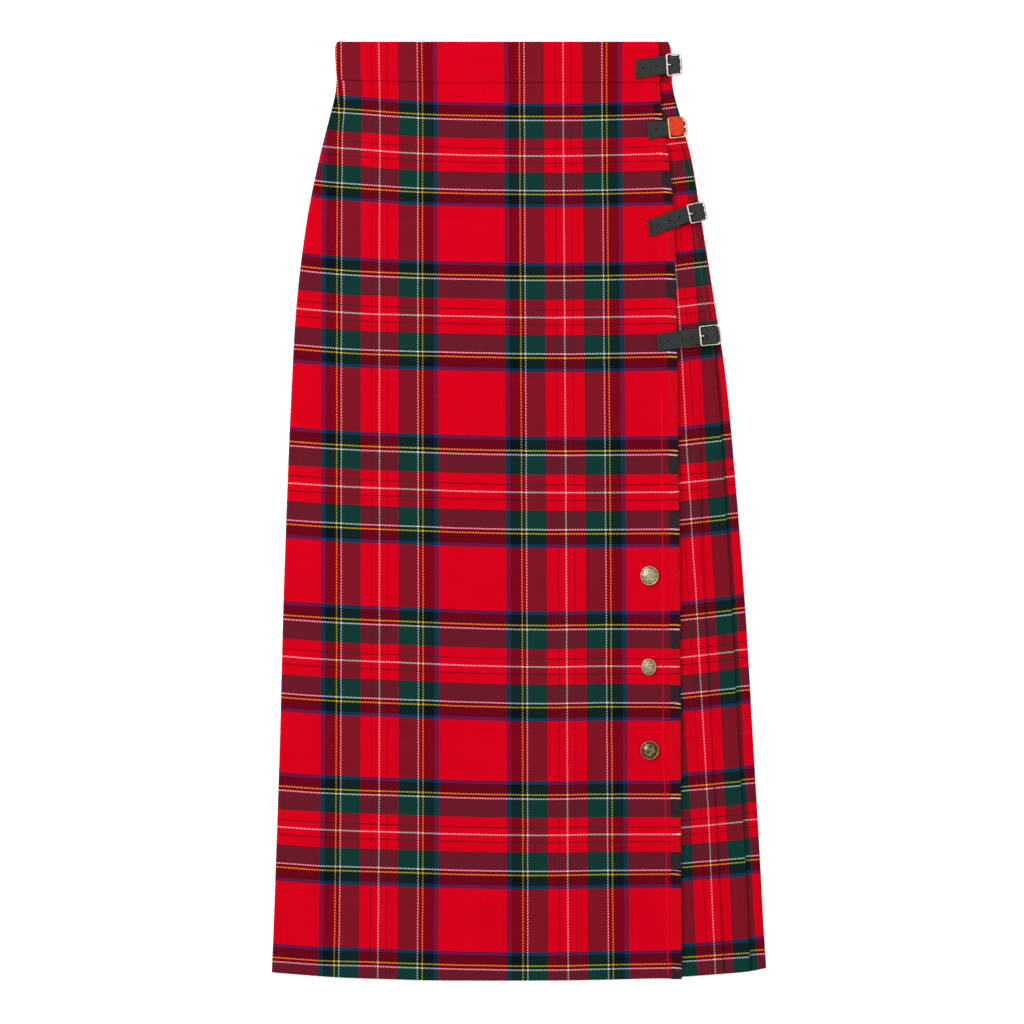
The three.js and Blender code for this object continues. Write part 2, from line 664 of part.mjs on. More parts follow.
for (const strap of STRAPS) {
  const fastening = new THREE.Group();
  fastening.position.set(strap.x, strap.y, 0);
  fastening.rotation.z = THREE.MathUtils.degToRad(strap.turn);
  skirt.add(fastening);
  const { tilt, middle } = buckleLayout(strap);
  piece(`strap_${strap.name}`, strapLeather(strap), LEATHER, fastening);
  const frame = piece(`buckle_frame_${strap.name}`, buckleFrame(strap), STEEL, fastening);
  frame.position.z = middle;
  frame.rotation.y = tilt;
  piece(`buckle_tab_${strap.name}`, buckleTab(strap), LEATHER, fastening);
  if (strap.prong) {
    piece(`buckle_prong_${strap.name}`, buckleProng(strap), STEEL, fastening);
  } else {
    piece(`strap_${strap.name}_end`, turnedEnd(strap), SUEDE, fastening);
  }
}

for (const button of BUTTONS) {
  const mesh = piece(`button_${button.name}`, domeButton(button), BRASS);
  mesh.position.set(button.x, button.y, OVER_TOP + GAP);
}

export default skirt;
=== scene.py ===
import math
from types import SimpleNamespace as Sizes

import bmesh
import bpy
import numpy as np
from mathutils import Matrix, Vector


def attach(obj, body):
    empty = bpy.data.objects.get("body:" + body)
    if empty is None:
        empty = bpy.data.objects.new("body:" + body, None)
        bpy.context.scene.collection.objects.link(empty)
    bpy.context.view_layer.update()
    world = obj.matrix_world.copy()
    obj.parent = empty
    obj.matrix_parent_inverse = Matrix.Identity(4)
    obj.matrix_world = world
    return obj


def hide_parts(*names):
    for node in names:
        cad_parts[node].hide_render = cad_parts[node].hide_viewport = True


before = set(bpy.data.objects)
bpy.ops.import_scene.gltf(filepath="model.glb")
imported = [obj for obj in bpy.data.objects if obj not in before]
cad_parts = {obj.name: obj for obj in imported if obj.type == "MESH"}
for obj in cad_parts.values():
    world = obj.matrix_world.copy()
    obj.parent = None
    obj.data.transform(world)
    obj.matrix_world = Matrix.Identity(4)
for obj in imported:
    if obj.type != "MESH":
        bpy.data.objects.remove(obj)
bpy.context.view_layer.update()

# A long kilted wrap skirt laid flat with its front up. Lengths are in millimetres, in the frame's axes,
# until a mesh is made: x across, y up the skirt and z off the floor.
MM = 0.001


def table(columns, *rows):
    """Rows whose columns have names."""
    return [Sizes(**dict(zip(columns.split(), row))) for row in rows]


# -------- the skirt's sizes

CLOTH = 1.2
GAP = 0.3
LAYER = CLOTH + GAP
ROWS = 3.1  # spacing of the mesh's rows down the front and the side
UNDER_ROWS = 7.5  # down the under apron
BACK_ROWS = 12.4  # and down the back
APRON_COLUMNS = 128  # columns of its mesh across the over apron's face
BAND_COLUMNS = 90  # and across the waistband's
TOP = 483.1
SEAM = 442.4
HEM = -483.1
HEM_BEND = 61.8  # length of cloth over which the rows bend to the hem
UNDER_HEM = 3.0  # how much shorter the hidden layers are
SIDE_OVER_HEM = 1.5  # and the back below the side section
OVER = 4 * LAYER + CLOTH / 2  # height of the middle of the over apron's cloth
UNDER = 3 * LAYER + CLOTH / 2
MIDDLE = 2 * LAYER + CLOTH / 2
INNER = LAYER + CLOTH / 2
BACK = CLOTH / 2
FOLD_RETURN = 12  # how far the over apron runs back below its left fold
UNDER_JOIN = 30  # how far in from its cut edge the panels below it meet
UNDER_START = 4.5  # how far in from the left fold the under apron starts
UNDER_WEFT = 8  # how far its weft lies off the front's

# The outline, row by row: left fold, the over apron's cut edge, its fringe's tips, side pleat, right fold
OUTLINE = table(
    "y left edge tip pleat right",
    (442.4, -187.8, 137.0, 145.2, 152.0, 157.6), (427.5, -189.5, 137.4, 145.6, 154.2, 160.2),
    (402.7, -195.7, 139.6, 148.2, 160.4, 166.9), (361.5, -206.0, 145.0, 154.2, 169.9, 177.7),
    (299.7, -218.4, 150.0, 159.7, 179.2, 187.8), (217.3, -228.7, 151.5, 161.6, 191.4, 200.9),
    (134.9, -233.8, 153.0, 163.4, 203.7, 213.2), (11.3, -239.0, 154.2, 164.7, 212.2, 224.5),
    (-112.3, -243.1, 155.4, 166.0, 219.7, 233.8), (-235.9, -246.2, 155.8, 166.4, 226.0, 241.0),
    (-359.5, -250.3, 156.4, 167.0, 233.1, 248.2), (-483.1, -254.6, 157.0, 167.5, 238.3, 254.6),
)

APRON_HEM = table(
    "x y",
    (-254.6, -474.8), (-215.0, -477.9), (-186.0, -480.0), (-129.0, -482.0), (-86.0, -483.1),
    (44.0, -483.1), (102.0, -482.0), (145.0, -481.0), (167.5, -481.5),
)

SIDE_HEM = table(
    "x y",
    (157.0, -479.6), (168.0, -479.4), (203.0, -476.9), (238.0, -473.8), (254.6, -470.4),
)

# The soft pleat in the side section: where it runs and how high it stands
SOFT_PLEAT = table(
    "y x rise",
    (442.4, 150.0, 0.0), (186.0, 182.4, 0.3), (83.4, 185.9, 1.0), (-31.9, 188.0, 1.4),
    (-124.6, 192.4, 1.6), (-240.0, 197.1, 1.7), (-326.8, 202.3, 1.8), (-432.6, 207.7, 1.9),
    (-483.1, 210.2, 1.9),
)
SOFT_PLEAT_FORM = Sizes(foot=5.0, drop=1.1, groove=0.34, groove_width=1.0)
SIDE_PLEAT_DEPTH = 9  # how deep the side pleat is, and more for each mm that shows beyond it
SIDE_PLEAT_GAIN = 0.9
BACK_START = 3  # from the inside of the side pleat to where the back starts
# Up here the side pleat lies closed, almost on the right fold
PLEAT_CLOSED = Sizes(start=150, end=185, short=1.4)
# Where the cloth below it climbs to the right fold, in shares of its way there
PLEAT_RISE = Sizes(start=0.22, end=0.5, closed=0.26)

BACK_PLEATS = 18
PLEAT_TAKE_UP = 0.8  # depth of a knife pleat as a share of what it shows, less its ease
PLEAT_EASE = 1

# The waistband's outline: left fold, the over band's end and right fold
BAND_ROWS = table(
    "y left end right",
    (442.4, -187.8, 145.2, 157.6), (456.0, -188.7, 144.6, 157.3), (476.0, -189.5, 143.8, 156.2),
    (480.6, -188.4, 143.5, 154.7), (482.4, -187.0, 143.3, 153.8), (483.1, -185.4, 143.2, 152.6),
)
BAND = 2.4  # thickness of its front stretches, and of the back one
BACK_BAND = 3.0
BAND_RETURN = 14  # how far each front stretch runs back below its fold
BAND_SEWING = Sizes(left=-184, right=143, above_seam=3.4, sunk=0.1)
# A stitch from end to end: share of its length, thickness and height
STITCH = table(
    "share size raised",
    (0.0, 0.3, -0.5), (0.12, 0.9, 0.5), (0.5, 1.0, 1.0), (0.88, 0.9, 0.5), (1.0, 0.3, -0.5),
)
UNDER_BAND_START = 6
UNDER_BAND_RED = 154.0  # where its green stripe ends

# The stitched line that runs down the over apron inside its fringed edge: where its stitches begin to show,
# end over end, how deep they are sunk, and the groove that the line presses
EDGE_SEWING = Sizes(start=120, stitch=(3.2, -0.8, 0.8), sunk=0.34, groove=0.24, groove_width=1.5)
PRESSED_LINE = table(
    "y x",
    (483.1, 130.8), (400.0, 131.3), (279.1, 132.6), (201.9, 139.6), (134.9, 146.0), (90.0, 146.9),
    (-29.9, 147.6), (-153.5, 148.2), (-251.0, 148.6), (-330.0, 151.4), (-400.0, 152.4), (-483.1, 153.4),
)

# -------- the tartan

# Half a sett in threads, from the middle of the white line that it turns on. The other half mirrors it.
WARP_SETT = [
    ("white", 1), ("red", 10), ("guard", 2), ("red", 16), ("green", 29), ("white", 2), ("black", 5),
    ("yellow", 2), ("black", 16), ("blue", 6), ("red", 52.5),
]
WEFT_SETT = [
    ("white", 1), ("red", 9), ("guard", 2), ("red", 14), ("green", 27), ("white", 2), ("black", 4),
    ("yellow", 2), ("black", 14), ("blue", 5), ("red", 42),
]
WARP_REPEAT = 192.6
WEFT_REPEAT = 177.9
WARP_PITCH = WARP_REPEAT / 283  # from thread to thread
WEFT_PITCH = WEFT_REPEAT / 244

# Where the two white lines run down the front
WARP_LINES = table(
    "y left right",
    (483.1, -144.4, 45.2), (402.7, -143.1, 45.5), (299.7, -143.6, 46.2), (134.9, -143.7, 47.4),
    (-50.5, -143.6, 48.7), (-215.3, -143.7, 49.5), (-380.0, -144.4, 50.2), (-483.1, -145.5, 50.7),
)

LEFT_EASE = 1.018  # the cloth lies a little closer left of the left line
# And a little wider about the right line
RIGHT_EASE = Sizes(share=0.024, reach=70)

# How the weft lies down the front, at x = -50: a place on the skirt, and its place in the weave
WEFT_LINES = table(
    "y v",
    (420.3, 58.2), (366.2, 0.0), (313.5, -58.2), (256.5, -119.7), (200.3, -177.9), (144.2, -236.1),
    (77.8, -297.6), (20.3, -355.8), (-36.6, -414.0), (-101.7, -475.5), (-158.9, -533.7), (-215.0, -591.9),
    (-277.1, -653.4), (-332.7, -711.6), (-388.3, -769.8), (-453.2, -831.3), (-508.8, -889.5),
)

# How far the weft stands above that, across the front, at the white lines from the waist down
WEFT_SWEEP_LEVELS = [367.1, 200.3, 20.6, -158.3, -332.7, -453.0]
WEFT_SWEEP = table(
    "x stands",
    (-241.0, [16.0, 9.3, 8.8, 9.3, 7.3, 7.3]), (-205.0, [9.4, 5.9, 6.3, 6.7, 4.8, 4.8]),
    (-164.0, [6.0, 3.0, 4.1, 4.7, 3.4, 3.6]), (-112.0, [2.2, 1.4, 2.2, 2.6, 1.8, 1.8]),
    (-50.0, [0.0, 0.0, 0.0, 0.0, 0.0, 0.0]), (22.0, [-0.9, -1.3, -1.3, -1.7, -1.0, -0.9]),
    (84.0, [-0.3, -0.8, -1.4, -0.8, -0.1, 0.2]), (156.0, [2.0, 0.4, -0.9, -1.2, 0.0, 1.6]),
)

# The side section's weave: where its green stripe begins and its white line runs, and beyond the side
# pleat where the green ends
SIDE_WARP = table(
    "y green white red",
    (442.4, 156.5, 136.8, 155.0), (418.2, 159.7, 140.0, 160.5), (380.1, 166.9, 147.0, 168.4),
    (357.4, 169.5, 149.8, 175.4), (328.6, 172.8, 153.1, 182.6), (294.6, 176.9, 157.2, 188.2),
    (234.8, 181.3, 162.6, 194.6), (134.9, 188.5, 168.9, 207.8), (57.7, 192.3, 173.1, 213.0),
    (9.3, 194.9, 176.3, 216.9), (-31.9, 197.6, 178.6, 219.4), (-91.7, 201.7, 182.6, 223.6),
    (-148.0, 204.6, 185.4, 226.8), (-205.0, 207.6, 188.7, 230.2), (-262.0, 210.4, 192.0, 232.3),
    (-311.1, 212.8, 194.9, 236.5), (-416.1, 218.4, 199.5, 242.5), (-483.1, 221.2, 202.7, 247.0),
)
SIDE_GREEN = 19.7  # its green stripe's place in the sett
# Above this the stripe runs on over the side pleat
SIDE_JOINED = Sizes(start=390, end=402)

# How the side's weft stands above the front's: at the over apron's edge, for each mm from there, and more
# beyond the side pleat
SIDE_RISE = table(
    "y edge slope pleat",
    (442.4, 10.2, 0.122, 0.0), (367.0, 9.8, 0.122, 0.0), (250.0, 8.6, 0.122, 0.0),
    (190.0, 8.2, 0.118, 0.0), (90.0, 7.7, 0.11, 1.1), (30.0, 7.3, 0.105, 1.1), (-10.0, 7.2, 0.106, 1.1),
    (-110.0, 6.9, 0.113, 1.1), (-150.0, 6.7, 0.112, 1.1), (-190.0, 7.1, 0.107, 1.2),
    (-285.0, 6.15, 0.09, 1.4), (-325.0, 5.9, 0.091, 1.5), (-365.0, 6.2, 0.086, 1.7),
    (-460.0, 7.0, 0.07, 2.0),
)

# The fringe's yarns, how much shorter some are, and how they thin and droop to their tips
YARN = Sizes(pitch=0.73, width=1.3, tip_width=0.9, thickness=0.7, short=0.7, thinner=0.3, droop=0.6)
# They lean up and down in waves of these spacings and shifts, each a little by chance, and down in all
LEAN = Sizes(height=0.6, waves=[(9.1, 0), (23.7, 1.3)], scatter=0.16, down=0.5)
RAGGED = Sizes(depth=0.25, spacing=4.3, stretch=31.0)  # some stretches of tips go in and out more

# -------- creases

# Soft ridges and troughs: the middle of each, its lean from the vertical in degrees, and its length,
# width and height
APRON_CREASES = table(
    "x y lean length width height",
    (-152, 318, -6, 230, 15, 0.9), (-96, 286, -3, 290, 21, -0.6), (-18, 336, 1, 190, 24, 0.6),
    (82, 322, 4, 210, 17, 0.8), (-208, 66, -2, 430, 12, 1.0), (-168, -40, 0, 330, 22, -0.7),
    (-92, -82, 1, 410, 27, 0.8), (12, -150, 0, 460, 24, -0.6), (84, 20, 1, 380, 19, 0.8),
    (116, -344, 2, 230, 16, 0.9), (-214, -372, -3, 240, 15, 1.0), (-132, -398, 2, 190, 22, -0.7),
    (-40, -412, -1, 160, 20, 0.8), (62, -420, 1, 150, 18, -0.6), (158, -70, 104, 26, 3.0, 1.1),
    (158, -249, 103, 28, 3.0, 1.1), (118, 268, 70, 60, 5, 0.5), (128, 152, 82, 52, 5, -0.4),
)
SIDE_CREASES = table(
    "x y lean length width height",
    (184, 10, -3, 330, 1.9, 0.7), (174.5, 96, -4, 240, 2.4, -0.5), (203, 60, -4, 260, 2.6, 0.5),
    (181, -330, -2, 290, 4.2, -0.6), (190, -280, -3, 210, 2.2, 0.5), (219, -300, -3, 330, 3.4, 0.6),
    (213, -130, -3, 200, 2.6, -0.5),
)
BACK_CREASES = table(
    "x y lean length width height",
    (-190, 120, -3, 320, 9, 0.5), (-120, -200, -1, 380, 12, 0.4), (-44, 60, 0, 300, 10, 0.5),
    (30, -260, 1, 340, 11, 0.5), (96, 40, 3, 280, 9, 0.4), (164, -240, 3, 330, 10, 0.5),
)
CREASE_CLEARANCE = 17  # how far the cloth lies flat round each strap, buckle and button
EDGE_LIFT = 1.7  # how high the over apron's free edge rides
EDGE_RUN = 13
EDGE_CLEARANCE = 11

# -------- straps, buckles and buttons

# Each buckle's middle, turn, span along the strap and rise across it. Then the strap: its length to the sewn
# end, width, the share of it at the sewn end, how far it drops and skews there, the height it rests at, its
# holes, and whether it has a prong
STRAPS = table(
    "name x y turn span rise length width waist drop skew rest holes prong",
    ("1", 159.7, 459.1, 3.0, 16.6, 23.0, 39.9, 18.6, 1.0, 2.4, 0.1, 8.7, [18.4, 32.2], True),
    ("2", 163.3, 394.7, 5.5, 19.8, 21.6, 31.2, 17.6, 0.84, 0.0, 0.04, 7.5, [22.4], False),
    ("3", 183.5, 307.1, 12.0, 19.4, 20.2, 52.4, 16.9, 1.0, 5.3, 0.09, 7.5, [19.0, 29.5, 42.0], True),
    ("4", 196.7, 180.8, 5.5, 22.2, 21.0, 54.8, 17.4, 0.97, 2.4, 0.05, 7.5, [18.7, 29.0, 43.5], True),
)
STRAP = 2.0  # thickness
STRAP_HOLE = 0.95
STRAP_BEND_START = 9  # how far out from the buckle's middle a strap starts to drop
STRAP_LIFT = 1.5  # how far it climbs inside the buckle, and where, from the free bar
CLIMB = Sizes(start=1, end=5.5)
OVER_HINGE = 2.3  # how much higher the strap's tip lies, on the hinge's eye
STRAP_TIP = 1.0  # how far its tip reaches past the hinge bar
ARCH = Sizes(height=0.18, spacing=7.0, start=-14, end=-4, fade=14)  # a strap's slight waves along its length
PLAIN_END = 3  # how far past the free bar a strap without a prong runs
STRAP_EDGE = 0.42  # how far its edges are rounded
STRAP_SEWING = Sizes(sunk=0.06, inset=1.9, rows=(2.0, 4.0), stitch=(1.7, 0.7, 0.45, 0.2))
SEWN_END = 1.04  # how much wider a strap is where it is sewn down
STRAP_SLICE = 1.3  # spacing of the cuts that let a strap bend
# A buckle frame: its bars, the slot that the tab goes round the hinge bar through, and its corners' radii
FRAME = Sizes(
    thickness=1.6, bar=1.8, rail=1.2, outer=1.3, slot=1.8, hinge=1.0, near=2.6, far=4.6, window_near=0.9,
    window_far=1.2, slot_corner=0.4, inset=1.9, edge=0.46,
)
D_FRAME = Sizes(**{**vars(FRAME), "far": 7, "window_far": 3, "inset": 3.2})
FRAME_TILT = 6  # degrees
FRAME_ABOVE_REST = 2.4
BAR_EASE = 0.1
EYE = 1.475  # middle radius of the leather and of the prong round the hinge bar
EYE_OUTER = 1.75
# The prong: its wire, its bends from the hinge bar and from the free bar, and the strap's slot for it
PRONG = Sizes(
    wire=1.3, heel_out=1.0, heel_down=1.05, knee_out=1.9, foot=6.4, shoulder=3.2, tip=-0.3, slot_from=1.9,
    slot_to=7.2, slot=1.9, bend=1.1, wider=1.25, eye_wire=0.46,
)
PRONG_END = table("x z radius", (-0.35, -0.05, 0.42), (-0.6, -0.15, 0.12))  # its rounded tip
TAB = Sizes(thickness=1.2, length=14, width=11, loop=0.6)
TURNED_END = Sizes(
    start=-8.5, end=6.2, width=19.8, up=1.2, near=3, near_low=5.5, far=5.5, thickness=1.6, crown=0.5,
    edge=0.6, slice=1.4,
)
DENT = Sizes(x=-5.5, y=-2.8, across=1.6, along=2.6, depth=0.35)  # in that end's face

BUTTONS = table(
    "name x y across along height face",
    ("1", 134.3, -66.5, 18.7, 19.9, 5.2, "hammered"), ("2", 133.6, -160.3, 14.9, 16.9, 5.0, "woven"),
    ("3", 134.5, -246.1, 19.0, 19.3, 5.4, "plain"),
)
BUTTON_BASE = 4 * LAYER + CLOTH + GAP

# A button's section in shares of its radius and height: the dome, the groove round it and the rim
DOME = Sizes(radius=0.84, power=0.75, rise=0.62, groove=0.33, rim=0.13, rim_at=0.925, rim_width=0.08)
UNDERSIDE = table("out up", (0.99, 0.2), (0.93, 0.05), (0.75, 0.0), (0.0, 0.0))

# The relief on each face: its share of the height, how bright it is rubbed in its hollows, and how much
# more on its heights
BUTTON_FACES = {
    "hammered": Sizes(depth=0.045, clean=0.32, rubbed=0.36),
    "woven": Sizes(depth=0.15, clean=0.1, rubbed=0.65),
    "plain": Sizes(depth=0.05, clean=0.2, rubbed=0.4),
}
DIMPLES = 44
STRANDS = 2.9  # of the woven face, across its radius

# -------- camera and light

# Where the camera looks straight down, and how wide a stretch it sees
VIEW = Sizes(x=-7.2, y=-1.0, across=1054.7)
LENS = 250
SENSOR = 36
DAYLIGHT = 1.25  # the white room's brightness overhead
HORIZON = 0.45  # and at its sides
FLOOR_GLOW = 0.3  # the floor's own light, which thins its shadows as on the photo's white ground
KEY = Sizes(x=-1.9, y=1.5, z=1.7, size=2.2, watts=76)
FILL = Sizes(x=2.2, y=-1.6, z=2.4, size=2.6, watts=10)

# -------- curves through tables


def curve_through(at, value, place):
    """Values at places along a smooth curve through points, which goes straight on past its ends."""
    at, value, place = (np.asarray(numbers, float) for numbers in (at, value, place))
    if at[-1] < at[0]:
        at, value = at[::-1], value[::-1]
    steps = np.diff(value) / np.diff(at)
    inner = (value[2:] - value[:-2]) / (at[2:] - at[:-2])
    slope = np.concatenate([steps[:1], inner, steps[-1:]])
    i = np.clip(np.searchsorted(at, place) - 1, 0, len(at) - 2)
    length = at[i + 1] - at[i]
    t = np.clip((place - at[i]) / length, 0, 1)
    curve = (
        (2 * t**3 - 3 * t**2 + 1) * value[i] + (t**3 - 2 * t**2 + t) * length * slope[i]
        + (3 * t**2 - 2 * t**3) * value[i + 1] + (t**3 - t**2) * length * slope[i + 1]
    )
    below = np.minimum(place - at[0], 0) * slope[0]
    above = np.maximum(place - at[-1], 0) * slope[-1]
    return curve + below + above


def follow(rows, column, place, along="y"):
    """Values from a table at places along another of its columns."""
    return curve_through([getattr(row, along) for row in rows], [getattr(row, column) for row in rows], place)


def apron_hem(x):
    return follow(APRON_HEM, "y", x, "x")


def side_hem(x):
    return follow(SIDE_HEM, "y", x, "x")


def pressed_line(y):
    return follow(PRESSED_LINE, "x", y)


def smooth(low, high, value):
    """0 below low, 1 above high, and a smooth rise between them."""
    t = np.clip((np.asarray(value, float) - low) / (high - low), 0, 1)
    return t * t * (3 - 2 * t)


def row_at(y):
    """Where the outline and the pleats lie at one level."""
    row = Sizes(y=y, **{name: float(follow(OUTLINE, name, y)) for name in ("left", "edge", "pleat", "right")})
    row.depth = SIDE_PLEAT_DEPTH + SIDE_PLEAT_GAIN * (row.right - row.pleat)
    row.back_end = row.pleat - row.depth - BACK_START
    row.join = row.edge - UNDER_JOIN
    row.fold_end = row.left + FOLD_RETURN
    return row


FASTENINGS = [(b.x, b.y) for b in BUTTONS]
for strap in STRAPS:
    turn = math.radians(strap.turn)
    for out in np.arange(-strap.length, strap.span, 9.0):
        FASTENINGS.append((strap.x + out * math.cos(turn), strap.y + out * math.sin(turn)))


def clear_of_fastenings(x, y, reach):
    """0 on what is sewn on and 1 away from it."""
    clear = np.ones(np.shape(x))
    for at_x, at_y in FASTENINGS:
        near = ((x - at_x) ** 2 + (y - at_y) ** 2) / reach**2
        clear *= 1 - np.exp(-(near**2))
    return clear


def relief(rows, x, y):
    """How far the cloth stands up or sinks in its soft creases, flat where something is sewn on."""
    x, y = np.broadcast_arrays(np.asarray(x, float), np.asarray(y, float))
    total = np.zeros(x.shape)
    for row in rows:
        lean = math.radians(row.lean)
        out, up = x - row.x, y - row.y
        along = (up * math.cos(lean) + out * math.sin(lean)) * 2 / row.length
        across = (out * math.cos(lean) - up * math.sin(lean)) / row.width
        total += row.height * np.clip(1 - along**2, 0, 1) ** 1.5 * np.exp(-(across**2))
    return total * clear_of_fastenings(x, y, CREASE_CLEARANCE)


def edge_lift(x, y):
    """How the over apron's free edge rides up off the pleats below it."""
    out = follow(OUTLINE, "edge", y) - x
    return EDGE_LIFT * smooth(EDGE_RUN, 0, out) * clear_of_fastenings(x, y, EDGE_CLEARANCE)


# -------- the weave's place on each panel


def sweep(x, y):
    """How far the weft stands above its place at x = -50, across the front."""
    heights = np.array(WEFT_SWEEP_LEVELS)[::-1]
    across = [row.x for row in WEFT_SWEEP]
    stands = zip(*(row.stands for row in WEFT_SWEEP))
    curves = np.array([curve_through(across, level, x) for level in stands])[::-1]
    place = np.interp(y, heights, np.arange(len(heights)))
    low = np.clip(np.floor(place).astype(int), 0, len(heights) - 2)
    share = place - low
    low = np.broadcast_to(low, x.shape)
    first = np.take_along_axis(curves, low[None], 0)[0]
    second = np.take_along_axis(curves, low[None] + 1, 0)[0]
    return first * (1 - share) + second * share


def front_weave(x, y):
    """The place in the weave of a point on the front."""
    left = follow(WARP_LINES, "left", y)
    right = follow(WARP_LINES, "right", y)
    u = (x - left) / (right - left) * WARP_REPEAT
    u = np.where(x < left, u * LEFT_EASE, u)
    out = x - right
    u = u - RIGHT_EASE.share * out * np.exp(-((out / RIGHT_EASE.reach) ** 2))
    v = follow(WEFT_LINES, "v", y - sweep(x, y))
    return u, v


def side_weave(x, y, edge, pleat):
    """The place in the weave of a point on the side section, up to the side pleat's edge."""
    green = follow(SIDE_WARP, "green", y)
    white = follow(SIDE_WARP, "white", y)
    u = (x - white) / (green - white) * SIDE_GREEN
    base, slope, step = (follow(SIDE_RISE, name, y) for name in ("edge", "slope", "pleat"))
    rise = base + slope * (x - edge) + step * smooth(pleat, pleat + 0.5, x)
    return u, follow(WEFT_LINES, "v", y - rise)


# -------- cloth


def eased_corner(start, corner, end, steps):
    """Points along a short curve that rounds a corner."""
    t = np.arange(steps + 1)[:, None] / steps
    return (1 - t) ** 2 * start + 2 * t * (1 - t) * corner + t * t * end


def rounded(path, radius, steps=4):
    """A path of rows that begin with a place, its corners eased by short curves."""
    path = [np.asarray(point, float) for point in path]
    eased = [path[0]]
    for before, corner, after in zip(path, path[1:], path[2:]):
        ways = (before - corner, after - corner)
        shares = [min(radius / np.linalg.norm(way[:2]), 0.49) for way in ways]
        start, end = (corner + way * share for way, share in zip(ways, shares))
        eased.extend(eased_corner(start, corner, end, steps))
    eased.append(path[-1])
    return np.array(eased)


def fold(outermost, start, end, thickness, turn, steps=14):
    """The middle of a half-round fold between two heights; turn is -1 for a left fold, 1 for a right one."""
    radius = abs(start - end) / 2
    centre = outermost - turn * (radius + thickness / 2)
    angle = np.pi * np.arange(steps + 1) / steps
    x = centre + turn * radius * np.sin(angle)
    z = (start + end) / 2 + (start - end) / 2 * np.cos(angle)
    return np.stack([x, z], 1)


def straight(start, end, count):
    """Evenly spaced rows from start towards end, without the end."""
    share = np.arange(count)[:, None] / count
    return np.asarray(start, float) * (1 - share) + np.asarray(end, float) * share


def run_to(start, end, count):
    """Evenly spaced rows from start to end."""
    return np.concatenate([straight(start, end, count), [end]])


def wrapped(start, outermost, heights, thickness, turn, columns, end):
    """A section across a panel's face, round its fold and back below as far as its end."""
    turned = fold(outermost, *heights, thickness, turn)
    face = straight([start, heights[0]], turned[0], columns)
    return np.concatenate([face, turned, run_to(turned[-1], [end, heights[1]], 3)[1:]])


def carry_round(u, middle, start, turn):
    """Counts the warp along the cloth from a column on, as it turns round a fold."""
    step = np.linalg.norm(np.diff(middle[:, start:], axis=1), axis=-1)
    u[:, start + 1:] = u[:, start, None] + turn * np.cumsum(step, 1)


def leaning(points, axis):
    """The direction of the lattice at each point along one axis."""
    step = np.diff(points, axis=axis)
    step /= np.maximum(np.linalg.norm(step, axis=-1, keepdims=True), 1e-9)
    first, last = np.take(step, [0], axis), np.take(step, [-1], axis)
    both = np.concatenate([first, step], axis) + np.concatenate([step, last], axis)
    return both / np.maximum(np.linalg.norm(both, axis=-1, keepdims=True), 1e-9)


def grid_faces(*corners):
    """Faces from arrays with the first, second, third and fourth corner of each."""
    return np.stack([corner.ravel() for corner in corners], 1)


def bar_faces(index, turned=False):
    """The faces of closed bars, from their vertices [bar, station, corner]."""
    around = np.roll(index, -1, 2)
    sides = [index[:, :-1], around[:, :-1], around[:, 1:], index[:, 1:]]
    ends = [index[:, 0, ::-1], index[:, -1]]
    if turned:
        sides = [sides[0], *sides[:0:-1]]
        ends = [end[:, ::-1] for end in ends]
    faces = grid_faces(*(np.moveaxis(side, 2, 0) for side in sides)).tolist()
    return faces + ends[0].tolist() + ends[1].tolist()


def moved(points, matrix):
    """Points placed by a matrix."""
    return points @ np.array(matrix.to_3x3()).T + np.array(matrix.translation)


def linked(name, data):
    """An object in the scene for a mesh, curve, lamp or camera."""
    made = bpy.data.objects.new(name, data)
    bpy.context.scene.collection.objects.link(made)
    return made


def mesh_object(name, vertices, faces, material, attributes=None, crisp=38):
    """An object from vertices in mm, smooth but for edges sharper than crisp degrees."""
    mesh = bpy.data.meshes.new(name)
    mesh.from_pydata((np.asarray(vertices, float) * MM).tolist(), [], [list(face) for face in faces])
    for key, values in (attributes or {}).items():
        layer = mesh.attributes.new(key, "FLOAT_VECTOR", "POINT")
        layer.data.foreach_set("vector", np.asarray(values, np.float32).ravel())
    mesh.polygons.foreach_set("use_smooth", [True] * len(mesh.polygons))
    mesh.set_sharp_from_angle(angle=math.radians(crisp))
    mesh.materials.append(material)
    mesh.update()
    return linked(name, mesh)


def shell_mesh(middle, thickness, weave):
    """Vertices, faces and weave of a closed wall round a lattice [row, along, xyz] of middle points."""
    normal = np.cross(leaning(middle, 1), leaning(middle, 0))
    normal /= np.maximum(np.linalg.norm(normal, axis=-1, keepdims=True), 1e-9)
    half = np.broadcast_to(np.asarray(thickness, float) / 2, middle.shape[:2])[..., None]
    rows, count = middle.shape[:2]
    vertices = np.concatenate([middle + normal * half, middle - normal * half]).reshape(-1, 3)
    index = np.arange(rows * count).reshape(rows, count)
    other = index + rows * count
    faces = np.concatenate([
        grid_faces(index[:-1, :-1], index[:-1, 1:], index[1:, 1:], index[1:, :-1]),
        grid_faces(other[:-1, :-1], other[1:, :-1], other[1:, 1:], other[:-1, 1:]),
        grid_faces(index[:-1, 0], index[1:, 0], other[1:, 0], other[:-1, 0]),
        grid_faces(index[:-1, -1], other[:-1, -1], other[1:, -1], index[1:, -1]),
        grid_faces(index[0, :-1], other[0, :-1], other[0, 1:], index[0, 1:]),
        grid_faces(index[-1, :-1], index[-1, 1:], other[-1, 1:], other[-1, :-1]),
    ])
    flat = np.zeros((rows * count, 3))
    flat[:, :2] = weave.reshape(-1, 2)
    return vertices, faces, np.concatenate([flat, flat])


def cloth_piece(name, middle, weave, material, thickness=CLOTH):
    vertices, faces, flat = shell_mesh(middle, thickness, weave)
    return mesh_object(name, vertices, faces, material, {"weave": flat})


